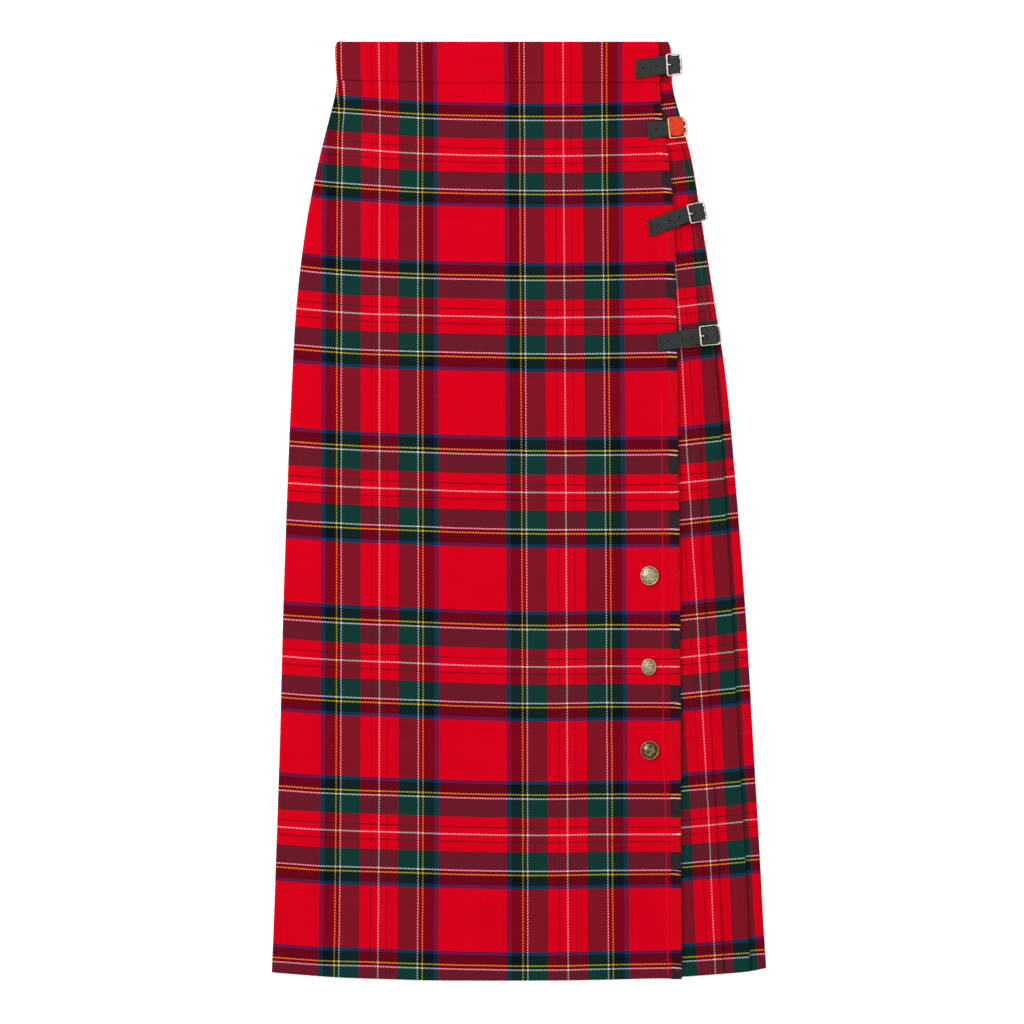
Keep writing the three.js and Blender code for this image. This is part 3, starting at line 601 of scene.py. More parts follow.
def levels(spacing, top=SEAM - GAP / 2, bottom=HEM):
    return np.linspace(top, bottom, int(round((top - bottom) / spacing)) + 1)


def bend_to_hem(y, hem):
    """The level of a point once the last stretch of cloth is bent to the hem."""
    share = np.clip((HEM + HEM_BEND - y) / HEM_BEND, 0, 1)
    return y + (hem - HEM) * share


def seam_shift(x):
    """The waist seam runs a little lower to the right."""
    return 1.3 - 2.7 * smooth(-190, -70, x)


def bend_to_seam(x, y):
    return y + seam_shift(x) * smooth(SEAM - 30, SEAM, y) * smooth(TOP, SEAM, y)


def lattice(sections, ys, hem=None):
    """x, y and z of middle points [level, column] from a section of rows [x, z, ...] for each level."""
    x, z = np.array(sections)[..., :2].transpose(2, 0, 1)
    y = np.broadcast_to(np.asarray(ys)[:, None], x.shape).copy()
    if hem is not None:
        y = bend_to_hem(y, hem(x))
    return x, bend_to_seam(x, y), z


def over_apron(look):
    """The front panel, its left fold and the short return below."""
    ys = levels(ROWS)
    sections = []
    for row in map(row_at, ys):
        heights = (OVER, BACK)
        sections.append(wrapped(row.edge, row.left, heights, CLOTH, -1, APRON_COLUMNS, row.fold_end))
    x, y, z = lattice(sections, ys, apron_hem)
    left = follow(OUTLINE, "left", y)
    on_face = smooth(4.4, 6.4, z) * smooth(2, 22, x - left)
    out = (x - pressed_line(y)) / EDGE_SEWING.groove_width
    groove = EDGE_SEWING.groove * np.exp(-(out**2)) * smooth(5.5, 6.5, z)
    raised = (relief(APRON_CREASES, x, y) + edge_lift(x, y)) * on_face - groove
    middle = np.stack([x, y, z + raised], -1)
    u, v = front_weave(x, y)
    carry_round(u, middle, APRON_COLUMNS, -1)
    inside = x - left - FOLD_RETURN
    eased = 3.0 * np.exp(-((inside / np.where(inside < 0, 6, 14)) ** 2)) * smooth(380, 436, y)
    return cloth_piece("over_apron_cloth", middle, np.stack([u - eased, v], -1), look)


def under_apron(look):
    """The plain panel below the front."""
    ys = levels(UNDER_ROWS)
    sections = []
    for row in map(row_at, ys):
        sections.append(run_to([row.left + UNDER_START, UNDER], [row.join - GAP, UNDER], 48))
    x, y, z = lattice(sections, ys, lambda x: apron_hem(x) + UNDER_HEM)
    raised = relief(APRON_CREASES, x, y) * smooth(2, 22, x - follow(OUTLINE, "left", y))
    u, v = front_weave(x, y)
    middle, weave = np.stack([x, y, z + raised], -1), np.stack([u, v + UNDER_WEFT], -1)
    return cloth_piece("under_apron_cloth", middle, weave, look)


def soft_pleat(x, y):
    """The ridge of the soft pleat, rounded on its left and dropping into a groove on its right."""
    form = SOFT_PLEAT_FORM
    out = x - follow(SOFT_PLEAT, "x", y)
    rise = follow(SOFT_PLEAT, "rise", y)
    ridge = np.where(out < 0, np.exp(-((out / form.foot) ** 2)), 1 - smooth(0, form.drop, out))
    groove = form.groove * np.exp(-(((out - 1.3 * form.drop) / form.groove_width) ** 2))
    return rise * (ridge - groove)


def side_face(row, pleat):
    """Columns across the side section's face, closest together at the soft pleat."""
    ridge = np.clip(float(follow(SOFT_PLEAT, "x", row.y)), row.edge + 8, pleat - 9)
    stops = [(row.join, 6), (row.edge - 2, 22), (ridge - 4, 24), (ridge + 3, 22), (pleat - 2 - CLOTH / 2, 0)]
    runs = [straight([x, UNDER], [end, UNDER], count) for (x, count), (end, _) in zip(stops, stops[1:])]
    return np.concatenate(runs)


def side_pleats(look):
    """The side section: soft pleat, side pleat and the right fold, on to the back."""
    ys = levels(ROWS)
    sections = []
    face_columns, return_columns = 74, 8
    for row in map(row_at, ys):
        closed = smooth(PLEAT_CLOSED.start, PLEAT_CLOSED.end, row.y)
        pleat = row.pleat + (row.right - PLEAT_CLOSED.short - row.pleat) * closed
        edge = pleat - CLOTH / 2
        inner = row.pleat - row.depth
        beyond = row.right - row.pleat
        shift = PLEAT_RISE.closed * closed
        turned = fold(row.right, MIDDLE, BACK, CLOTH, 1)
        face = side_face(row, pleat)
        tuck = rounded([[edge - 2, UNDER], [edge, UNDER], [edge, MIDDLE], [inner + 6, MIDDLE]], 0.74)
        under = rounded([[inner + 3, MIDDLE], [inner, MIDDLE], [inner, INNER], [inner + 3, INNER]], 0.74)
        beyond_from = len(face) + len(tuck) + len(under)
        rise = rounded([
            [inner + 6, INNER],
            [row.pleat + (PLEAT_RISE.start + shift) * beyond, INNER],
            [row.pleat + (PLEAT_RISE.end + shift) * beyond, MIDDLE],
            turned[0],
        ], 1.2)
        below = run_to(turned[-1], [row.back_end + GAP, BACK], return_columns)[1:]
        sections.append(np.concatenate([face, tuck, under, rise[:-1], turned, below]))
    x, y, z = lattice(sections, ys, side_hem)
    edge, tip, pleat = (follow(OUTLINE, name, y) for name in ("edge", "tip", "pleat"))
    on_face = smooth(4.2, 5.0, z)
    below_apron = relief(APRON_CREASES, x, y) * smooth(3, 0, x - edge)
    creased = relief(SIDE_CREASES, x, y) * smooth(1, 6, x - tip) * smooth(0, 3, pleat - x)
    raised = (soft_pleat(x, y) * smooth(0, 3, x - tip) + below_apron + creased) * on_face
    middle = np.stack([x, y, z + raised], -1)
    u, v = side_weave(x, y, edge, pleat)
    beyond_u = x - follow(SIDE_WARP, "red", y) - SIDE_GREEN
    joined_up = smooth(SIDE_JOINED.start, SIDE_JOINED.end, y)
    beyond_u = beyond_u * (1 - joined_up) + u * joined_up
    tucked = face_columns + 12
    share = np.clip((np.arange(x.shape[1]) - tucked) / (beyond_from - tucked), 0, 1)
    u = np.where(x > pleat, beyond_u, u) * (1 - share) + beyond_u * share
    carry_round(u, middle, x.shape[1] - return_columns - len(turned), 1)
    return cloth_piece("side_pleats_cloth", middle, np.stack([u, v], -1), look)


def back_pleats(look):
    """The knife pleats of the back, pleated to the sett."""
    ys = levels(BACK_ROWS)
    sections = []
    shown_at = lambda row: (row.back_end - row.fold_end - GAP) / BACK_PLEATS
    hem_shown = shown_at(row_at(HEM))
    for row in map(row_at, ys):
        start = row.back_end
        shown = shown_at(row)
        depth = PLEAT_TAKE_UP * shown - PLEAT_EASE
        path = [[start, BACK, 0]]
        for pleat in range(1, BACK_PLEATS):
            edge = start - pleat * shown
            middle = -(pleat - 0.5) * hem_shown
            first, next_u = middle - shown / 2, middle - hem_shown + shown / 2
            hidden = first - depth
            path += [[edge, BACK, first], [edge, INNER, first - LAYER]]
            path += [[edge + depth, INNER, hidden], [edge + depth, MIDDLE, hidden - LAYER]]
            path += [[edge - LAYER, MIDDLE, next_u + LAYER], [edge - LAYER, BACK, next_u]]
        path.append([row.fold_end + GAP, BACK, -BACK_PLEATS * hem_shown])
        sections.append(pleat_rows(path))
    hem = lambda x: np.maximum(apron_hem(np.minimum(x, 0)) + UNDER_HEM, side_hem(x) + SIDE_OVER_HEM)
    x, y, z = lattice(sections, ys, hem)
    raised = np.maximum(relief(BACK_CREASES, x, y), 0) * smooth(1.4, 0.7, z) * 0.4
    weave = np.stack([np.array(sections)[..., 2], follow(WEFT_LINES, "v", y)], -1)
    return cloth_piece("back_pleats_cloth", np.stack([x, y, z + raised], -1), weave, look)


def pleat_rows(path):
    """The back's section with its corners eased and points across each face."""
    eased = rounded(path, 0.72, 3)
    rows = [eased[0]]
    for i, point in enumerate(eased[1:], 1):
        if i % 4 == 1:  # a straight stretch between two corners
            rows.extend(straight(eased[i - 1], point, 3)[1:])
        rows.append(point)
    return np.array(rows)


# -------- waistband


def band_levels():
    low = SEAM + GAP / 2
    flat = np.concatenate([[low, low + 0.5, low + 1.0], np.linspace(low + 3, TOP - 2.4, 14)])
    rounded_top = TOP - 2.4 * (1 - np.sin(np.linspace(0.15, 1, 7) * np.pi / 2))
    return np.concatenate([flat, rounded_top])


def waistband(part, look):
    """One of the band's stretches: over and under turn round a fold each, and the back lies between them."""
    thickness = BACK_BAND if part == "back" else BAND
    low = thickness / 2
    ys = band_levels()[::-1]
    sections = []
    for y in ys:
        row = Sizes(**{name: float(follow(BAND_ROWS, name, y)) for name in ("left", "end", "right")})
        left_end, right_end = row.left + BAND_RETURN, row.right - BAND_RETURN
        if part == "over":
            heights = (4 * LAYER + low, low)
            section = wrapped(row.end, row.left, heights, BAND, -1, BAND_COLUMNS, left_end)
        elif part == "under":
            heights = (3 * LAYER + CLOTH - low, low)
            section = wrapped(row.left + UNDER_BAND_START, row.right, heights, BAND, 1, 80, right_end)
        else:
            section = run_to([left_end + GAP, low], [right_end - GAP, low], 60)
        sections.append(section)
    x, y, z = lattice(sections, ys)
    near_top = np.clip((y - (TOP - 1.6)) / 1.6, 0, 1)
    near_seam = smooth(0.9, 0.1, y - (SEAM + seam_shift(x)))
    full = thickness * np.sqrt(np.clip(1 - 0.93 * near_top**2, 0.05, 1)) * (1 - 0.25 * near_seam)
    middle = np.stack([x, y, z], -1)
    u = x
    if part == "over":
        u, _ = front_weave(x, y)
        carry_round(u, middle, BAND_COLUMNS, -1)
    elif part == "under":
        u = x - UNDER_BAND_RED - SIDE_GREEN
    red_weft = WEFT_REPEAT / 2 + (y - (SEAM + TOP) / 2) * 0.9
    weave = np.stack([u, red_weft], -1)
    return cloth_piece(f"waistband_{part}_cloth", middle, weave, look, full)


# -------- fringe


def apron_fringe(look):
    """The over apron's loose weft yarns, each in its own colour."""
    chance = np.random.default_rng(11)
    top, bottom = SEAM - 2.4, APRON_HEM[-1].y + 0.4
    roots = np.arange(bottom, top, YARN.pitch)
    count = len(roots)
    lean = sum(LEAN.height * np.sin(roots / spacing + shift) for spacing, shift in LEAN.waves)
    lean = lean + chance.normal(0, LEAN.scatter, count) - LEAN.down
    tips = follow(OUTLINE, "tip", roots) - YARN.short * chance.random(count) ** 2 + 0.3
    tips -= RAGGED.depth * (1 + np.sin(roots / RAGGED.spacing)) * (np.sin(roots / RAGGED.stretch) > 0.2)
    edge = follow(OUTLINE, "edge", roots)
    start = edge - 0.4
    shares = np.linspace(0, 1, 7)
    lift = chance.uniform(-0.1, 0.18, count)
    curl = chance.normal(0, 0.12, count)
    x = start[:, None] + (tips - start)[:, None] * shares
    y = roots[:, None] + lean[:, None] * shares**1.7 + curl[:, None] * np.sin(shares * np.pi * 1.4)
    y = np.maximum(y, apron_hem(x) + 0.3)
    z = OVER + 0.3 + lift[:, None] * shares + relief(APRON_CREASES, x, y) + edge_lift(x, y)
    z -= YARN.droop * shares**2
    _, v = front_weave(np.broadcast_to(edge[:, None], x.shape), np.broadcast_to(roots[:, None], x.shape))
    width = YARN.width + (YARN.tip_width - YARN.width) * shares**3
    thick = YARN.thickness * (1 - YARN.thinner * shares**3)
    corners = [(0, 0.5), (0.5, 0), (0, -0.5), (-0.5, 0)]
    rings = [np.stack([x, y + a * width, z + b * thick], -1) for a, b in corners]
    vertices = np.stack(rings, 2)
    faces = bar_faces(np.arange(vertices.size // 3).reshape(vertices.shape[:3]), True)
    weave = np.stack([x, v, np.zeros_like(x)], -1)
    weave = np.repeat(weave[:, :, None, :], 4, 2)
    return mesh_object("apron_fringe_yarns", vertices.reshape(-1, 3), faces, look, {"weave": weave}, 100)


# -------- sewing


def stitch_row(name, points, look, length=2.3, gap=0.8, width=0.5, height=0.3):
    """Stitches along a line of points, each a small rounded loop of thread."""
    points = np.asarray(points, float)
    run = np.concatenate([[0], np.cumsum(np.linalg.norm(np.diff(points, axis=0), axis=1))])
    starts = np.arange(0.5, run[-1] - length, length + gap)
    place = lambda at: np.stack([np.interp(at, run, points[:, k]) for k in range(3)], -1)
    first, last = place(starts), place(starts + length)
    along = last - first
    along /= np.linalg.norm(along, axis=1, keepdims=True)
    across = np.stack([-along[:, 1], along[:, 0], np.zeros(len(along))], 1)
    up = np.array([0, 0, 1.0])
    rings = []
    for form in STITCH:
        centre = first + (last - first) * form.share + up * height * form.raised
        for a, b in [(1, 0), (0.5, 1), (-0.5, 1), (-1, 0)]:
            rings.append(centre + across * a * form.size * width / 2 + up * b * form.size * height / 2)
    vertices = np.stack(rings, 1).reshape(-1, 3)
    faces = bar_faces(np.arange(len(vertices)).reshape(-1, len(STITCH), 4))
    return mesh_object(name, vertices, faces, look, None, 100)


# -------- hard and leather pieces


def oblong(x0, x1, half, near, far, steps=6, near_low=None):
    """A rounded oblong as a closed line; its far corners may be rounder than its near ones."""
    low = near if near_low is None else near_low
    corners = [
        ((x1 - far, -half), (x1, -half), (x1, -half + far)),
        ((x1, half - far), (x1, half), (x1 - far, half)),
        ((x0 + near, half), (x0, half), (x0, half - near)),
        ((x0, -half + low), (x0, -half), (x0 + low, -half)),
    ]
    return np.concatenate([eased_corner(*np.array(places), steps) for places in corners])


def ring_line(x, y, radius, sides=14):
    angle = 2 * np.pi * np.arange(sides) / sides
    return np.stack([x + radius * np.cos(angle), y + radius * np.sin(angle)], 1)


def plate(outline, holes, thickness, ease, steps=3):
    """A flat plate with holes and rounded edges, as a bmesh in mm about z = 0."""
    curve = bpy.data.curves.new("plate", "CURVE")
    curve.dimensions = "2D"
    curve.fill_mode = "BOTH"
    curve.extrude = thickness / 2 - ease
    curve.bevel_depth = ease
    curve.bevel_resolution = steps
    curve.offset = -ease
    for line in [outline, *holes]:
        spline = curve.splines.new("POLY")
        spline.points.add(len(line) - 1)
        spline.points.foreach_set("co", np.insert(line, 2, [[0], [1]], 1).ravel())
        spline.use_cyclic_u = True
    holder = linked("plate", curve)
    bpy.context.view_layer.update()
    mesh = bpy.data.meshes.new_from_object(holder.evaluated_get(bpy.context.evaluated_depsgraph_get()))
    bpy.data.objects.remove(holder)
    bpy.data.curves.remove(curve)
    body = bmesh.new()
    body.from_mesh(mesh)
    bpy.data.meshes.remove(mesh)
    bmesh.ops.remove_doubles(body, verts=body.verts, dist=1e-4)
    return body


def sliced(body, step):
    """Cuts a plate across every step of its length, so that it can bend."""
    xs = [vertex.co.x for vertex in body.verts]
    for x in np.arange(min(xs) + step, max(xs), step):
        whole = body.verts[:] + body.edges[:] + body.faces[:]
        bmesh.ops.bisect_plane(body, geom=whole, plane_co=(x, 0, 0), plane_no=(1, 0, 0), dist=1e-4)
    return body


def finished(name, body, look, bend=None, place=None, crisp=38):
    """Makes an object of a bmesh in mm, bent by a function of its points and then placed."""
    bmesh.ops.recalc_face_normals(body, faces=body.faces)
    points = np.array([vertex.co for vertex in body.verts], float)
    local = points.copy()
    if bend is not None:
        points = bend(points)
    if place is not None:
        points = moved(points, place)
    body.verts.index_update()
    faces = [[vertex.index for vertex in face.verts] for face in body.faces]
    body.free()
    return mesh_object(name, points, faces, look, {"weave": local}, crisp)


def tube(points, radii, sides=12):
    """Vertices and faces of a closed round bar along points."""
    points = np.asarray(points, float)
    radii = np.broadcast_to(np.asarray(radii, float), (len(points),))
    along = leaning(points, 0)
    side = np.array([0, 1.0, 0])
    rings = []
    for point, way, radius in zip(points, along, radii):
        side = side - way * side.dot(way)
        side /= np.linalg.norm(side)
        other = np.cross(way, side)
        angle = 2 * np.pi * np.arange(sides) / sides
        rings.append(point + radius * (np.outer(np.cos(angle), side) + np.outer(np.sin(angle), other)))
    vertices = np.concatenate(rings)
    return vertices, bar_faces(np.arange(len(vertices)).reshape(1, -1, sides))


def joined(parts):
    """One list of vertices and faces from several."""
    vertices, faces, offset = [], [], 0
    for points, cells in parts:
        vertices.append(points)
        faces.extend([[i + offset for i in cell] for cell in cells])
        offset += len(points)
    return np.concatenate(vertices), faces


def layout(strap):
    """Places along a buckle, from its middle: the free bar, the hinge bar and the heights they lie at."""
    tilt = math.radians(FRAME_TILT)
    free_bar = -strap.span / 2 + FRAME.bar / 2
    hinge = strap.span / 2 - FRAME.outer - FRAME.slot - FRAME.hinge / 2
    middle = strap.rest + FRAME_ABOVE_REST
    return Sizes(
        tilt=tilt,
        middle=middle,
        free_bar=free_bar * math.cos(tilt),
        free_bar_top=middle - free_bar * math.sin(tilt) + FRAME.thickness / 2 + BAR_EASE,
        hinge=hinge * math.cos(tilt),
        hinge_height=middle - hinge * math.sin(tilt),
    )


def place_of(strap):
    return Matrix.Translation((strap.x, strap.y, 0)) @ Matrix.Rotation(math.radians(strap.turn), 4, "Z")


def strap_leather(strap, look):
    """The strap, sewn down at its far end, under the free bar and up inside the buckle."""
    place = layout(strap)
    low = strap.rest + STRAP / 2
    end = place.hinge + STRAP_TIP if strap.prong else place.free_bar + PLAIN_END
    half = strap.width / 2
    outline = oblong(-strap.length, end, half, 0.6, 0.7)
    holes = [ring_line(-out, 0, STRAP_HOLE) for out in strap.holes]
    if strap.prong:
        slot_start = place.free_bar + PRONG.slot_from
        slot_end = place.free_bar + PRONG.slot_to
        holes.append(oblong(slot_start, slot_end, PRONG.slot / 2, 1.2, 1.2))
    body = sliced(plate(outline, holes, STRAP, STRAP_EDGE), STRAP_SLICE)
    lift = STRAP_LIFT if strap.prong else 0

    def bend(points):
        x, y, z = points.T
        start = place.free_bar + CLIMB.start
        climb = lift * smooth(start, place.free_bar + CLIMB.end, x)
        hinge_start = place.free_bar + PRONG.slot_to
        over_hinge = OVER_HINGE * smooth(hinge_start, place.hinge - EYE_OUTER, x) * (lift > 0)
        share = np.clip((-x - STRAP_BEND_START) / (strap.length - STRAP_BEND_START), 0, 1)
        narrow = strap.waist + (SEWN_END - strap.waist) * share
        drop = strap.drop * share**2 * (3 - 2 * share)
        skew = strap.skew * share * y
        arch = ARCH.height * np.sin(x / ARCH.spacing) * smooth(ARCH.end, ARCH.start, x)
        arch *= smooth(0, ARCH.fade, x + strap.length)
        thin = 1 - 0.4 * smooth(end - 2.5, end, x)
        height = z * thin + low + climb + over_hinge + np.maximum(arch, 0)
        return np.stack([x + skew, y * narrow - drop, height], 1)

    # a black leather disc closes each hole a little above its bottom: a dark sheet that paints the hole's
    # shade where the cloth below would show
    for out in strap.holes:
        hole_shade_disc = bmesh.ops.create_circle(body, cap_ends=True, radius=1.4 * STRAP_HOLE, segments=16)
        bmesh.ops.translate(body, verts=hole_shade_disc["verts"], vec=(-out, 0, -STRAP / 2 + 0.25))
    return finished(f"strap_{strap.name}_leather", body, look, bend, place_of(strap))


def strap_sewing(strap, look):
    """Two rows of stitches across the strap's sewn end."""
    height = strap.rest + STRAP - STRAP_SEWING.sunk
    half = strap.width / 2 - STRAP_SEWING.inset
    to_frame = place_of(strap)
    rows = []
    for from_end in STRAP_SEWING.rows:
        x = from_end - strap.length
        line = [to_frame @ Vector((x, side, height)) for side in (-half - strap.drop, half - strap.drop)]
        rows.append(stitch_row(f"strap_{strap.name}_sewing", line, look, *STRAP_SEWING.stitch))
    return join_pieces(rows)


def join_pieces(pieces):
    """Joins objects that share a look into the first."""
    first = pieces[0]
    body = bmesh.new()
    for piece in pieces:
        body.from_mesh(piece.data)
    body.to_mesh(first.data)
    body.free()
    for piece in pieces[1:]:
        bpy.data.objects.remove(piece)
    return first


def buckle_frame(strap, look):
    """The frame: a free bar, two rails, the hinge bar and the outer bar, cast in one piece."""
    form = FRAME if strap.prong else D_FRAME
    start, end, half = -strap.span / 2, strap.span / 2, strap.rise / 2
    slot_start = end - form.outer - form.slot
    window_half = half - form.rail
    outline = oblong(start, end, half, form.near, form.far, 10)
    window_end = slot_start - form.hinge
    window = oblong(start + form.bar, window_end, window_half, form.window_near, form.window_far)
    slot_half = window_half - form.inset
    slot = oblong(slot_start, end - form.outer, slot_half, form.slot_corner, form.slot_corner, 3)
    body = plate(outline, [window, slot], form.thickness, form.edge, 4)
    place = layout(strap)
    tilted = Matrix.Translation((0, 0, place.middle)) @ Matrix.Rotation(place.tilt, 4, "Y")
    return finished(f"buckle_frame_{strap.name}_metal", body, look, None, place_of(strap) @ tilted, 60)


def arc_points(x, z, radius, start, end, count):
    angle = np.radians(np.linspace(start, end, count))
    return np.stack([x + radius * np.cos(angle), np.zeros(count), z + radius * np.sin(angle)], 1)


def buckle_prong(strap, look):
    """The prong: an eye round the hinge bar, an arm under the strap, and up through it onto the free bar."""
    place = layout(strap)
    tab_top = 3 * LAYER + CLOTH + GAP + TAB.thickness
    arm = tab_top + GAP + PRONG.wire / 2 + strap.rest - (4 * LAYER + CLOTH) - GAP
    tip = place.free_bar_top + GAP + PRONG.wire / 2
    corners = [
        [place.hinge - PRONG.heel_out, place.hinge_height - PRONG.heel_down],
        [place.hinge - PRONG.knee_out, arm],
        [place.free_bar + PRONG.foot, arm],
        [place.free_bar + PRONG.shoulder, tip],
        [place.free_bar + PRONG.tip, tip],
    ]
    path = rounded(corners, PRONG.bend, 5)
    points = np.stack([path[:, 0], np.zeros(len(path)), path[:, 1]], 1)
    ends = points[-1] + [[end.x, 0, end.z] for end in PRONG_END]
    radii = np.concatenate([np.full(len(points), PRONG.wire / 2), [end.radius for end in PRONG_END]])
    eye = arc_points(place.hinge, place.hinge_height, EYE, 230, -100, 20)
    vertices, faces = joined([tube(np.concatenate([points, ends]), radii), tube(eye, PRONG.eye_wire)])
    vertices = moved(vertices * [1, PRONG.wider, 1], place_of(strap))
    return mesh_object(f"buckle_prong_{strap.name}_metal", vertices, faces, look, {"weave": vertices}, 50)


def ribbon(path, low, high, thickness, steps=5):
    """A strip of leather along a path in the x-z plane, from y = low to y = high."""
    path = np.asarray(path, float)
    ys = np.linspace(high, low, steps)
    middle = np.stack([np.stack([path[:, 0], np.full(len(path), y), path[:, 1]], 1) for y in ys])
    inset = np.ones(middle.shape[:2])
    inset[[0, -1], :] = 0.6
    vertices, faces, _ = shell_mesh(middle, thickness * inset, np.zeros(middle.shape[:2] + (2,)))
    return vertices, faces.tolist()


def buckle_tab(strap, look):
    """The leather tab sewn to the side section, turned over the hinge bar on both sides of the prong."""
    place = layout(strap)
    height = 3 * LAYER + CLOTH + GAP + TAB.thickness / 2
    half = TAB.width / 2
    x, z = place.hinge, place.hinge_height
    radius = EYE - 0.05
    flat = [[x - TAB.length, height], [x - 6, height], [x - 2.2, height]]
    up = [[x + 0.7, height + 0.15], [x + 1.15, height + 0.9]]
    turned = arc_points(x, z, radius, -25, 215, 16)[:, ::2]
    loop = np.concatenate([rounded(flat + up, 1.0, 3), turned[1:]])
    vertices, faces = joined([
        ribbon(loop, -half, -PRONG.slot / 2, TAB.loop),
        ribbon(loop, PRONG.slot / 2, half, TAB.loop),
        ribbon(flat, -half, half, TAB.thickness),
    ])
    placed = moved(vertices, place_of(strap))
    return mesh_object(f"buckle_tab_{strap.name}_leather", placed, faces, look, {"weave": vertices})


def turned_end(strap, look):
    """The second strap's turned end, flesh side out, crowned where it lies over the tab's eye."""
    place = layout(strap)
    size = TURNED_END
    outline = oblong(size.start, size.end, size.width / 2, size.near, size.far, 10, size.near_low)
    body = sliced(plate(outline, [], size.thickness, size.edge, 4), size.slice)
    base = place.hinge_height + EYE_OUTER + GAP + size.thickness / 2

    def bend(points):
        x, y, z = points.T
        crown = size.crown * (1 - (y / size.width * 2) ** 2) * (z > 0)
        away = ((x - DENT.x) / DENT.across) ** 2 + ((y - DENT.y) / DENT.along) ** 2
        return np.stack([x, y + size.up, z + base + crown - DENT.depth * np.exp(-away) * (z > 0)], 1)

    return finished("strap_2_end_suede", body, look, bend, place_of(strap), 60)


# -------- buttons


def dome_profile(out):
    """Height of a button's face, as a share, at a share of its radius: a dome, a groove and a rounded rim."""
    dome = np.cos(np.clip(out / DOME.radius, 0, 1) * np.pi / 2) ** DOME.power * DOME.rise + 1 - DOME.rise
    rim = DOME.groove + DOME.rim * np.sqrt(np.clip(1 - ((out - DOME.rim_at) / DOME.rim_width) ** 2, 0, 1))
    return np.where(out < DOME.radius - 0.01, dome, rim)


def face_pattern(face, x, y, out):
    """The relief on a button's dome, from 0 to 1."""
    if face == "hammered":
        golden = math.pi * (3 - math.sqrt(5))
        low = np.full(x.shape, 9.0)
        for k in range(DIMPLES):
            far = DOME.radius * math.sqrt((k + 0.5) / DIMPLES)
            low = np.minimum(low, np.hypot(x - far * math.cos(k * golden), y - far * math.sin(k * golden)))
        return smooth(0.02, 0.125, low) * smooth(0.86, 0.8, out)
    if face == "woven":
        a, b = (x + y) * STRANDS, (x - y) * STRANDS
        over = (np.floor(a) + np.floor(b)) % 2
        first = np.abs(np.sin(np.pi * a)) * (0.55 + 0.45 * over)
        second = np.abs(np.sin(np.pi * b)) * (1 - 0.45 * over)
        return np.maximum(first, second) * smooth(0.88, 0.8, out)
    waves = np.sin(5.1 * x + 2.3 * y) * np.sin(3.4 * x - 6.2 * y + 1.1)
    return (0.5 + 0.5 * waves) * smooth(0.86, 0.6, out)


def dome_button(button, look):
    """A cast dome button."""
    rings, sides = 46, 96
    out = np.concatenate([np.linspace(0, 1, rings) ** 0.9, [row.out for row in UNDERSIDE]])
    angle = 2 * np.pi * np.arange(sides) / sides
    x, y = np.outer(out, np.cos(angle)), np.outer(out, np.sin(angle))
    pattern = face_pattern(button.face, x, y, np.broadcast_to(out[:, None], x.shape))
    pattern[rings:] = 0
    face = BUTTON_FACES[button.face]
    up = dome_profile(out)[:, None] * (1 - face.depth) + face.depth * pattern
    up[rings - 1:] = np.array([DOME.groove, *(row.up for row in UNDERSIDE)])[:, None]
    up = np.broadcast_to(up, x.shape)
    vertices = np.stack([x * button.across / 2, y * button.along / 2, up * button.height], -1)
    vertices += [button.x, button.y, BUTTON_BASE]
    index = np.arange(x.size).reshape(x.shape)
    turned = np.roll(index, -1, 1)
    faces = grid_faces(index[:-1], index[1:], turned[1:], turned[:-1])
    share = np.broadcast_to(out[:, None], x.shape)
    rubbed = np.where(share < 0.82, face.clean + face.rubbed * pattern, 0.3 + 0.4 * (share > 0.87))
    shade = np.stack([rubbed, share, np.zeros_like(x)], -1)
    name = f"button_{button.name}_metal"
    made = mesh_object(name, vertices.reshape(-1, 3), faces, look, {"weave": shade}, 80)
    body = bmesh.new()
    body.from_mesh(made.data)
    bmesh.ops.remove_doubles(body, verts=body.verts, dist=1e-6)
    bmesh.ops.dissolve_degenerate(body, edges=body.edges, dist=1e-7)
    body.to_mesh(made.data)
    body.free()
    return made


# -------- materials


def colour(red, green, blue, light=1.0):
    """A colour given as it looks, 0 to 255 a channel, as linear light that a surface returns."""
    channels = []
    for value in (red, green, blue):
        value /= 255
        linear = value / 12.92 if value <= 0.04045 else ((value + 0.055) / 1.055) ** 2.4
        channels.append(min(linear / light, 1.0))
    return (*channels, 1.0)


LIGHT = 1.6  # how much brighter the light makes a flat surface than its own colour
CLOTH_LIGHT = 1.66  # the same for the cloth, whose threads shade each other
DRIFT = 0.6  # how far threads stray from their line, in mm
FRINGE_FUZZ = 0.5  # how far the fringe takes up the red of the warp it was pulled from
WARP_FUZZ = 0.64  # how far the nap of the threads it crosses takes a warp thread's colour towards theirs
WEFT_FUZZ = 0.5  # and a weft thread's, whose nap lies on top
WEFT_SHARE = 0.58  # the weft's share in that nap
DYES = {
    "red": (228, 0, 28), "green": (17, 62, 55), "black": (14, 22, 28), "blue": (18, 58, 108),
    "white": (255, 252, 245), "yellow": (255, 210, 20), "guard": (116, 26, 22),
}


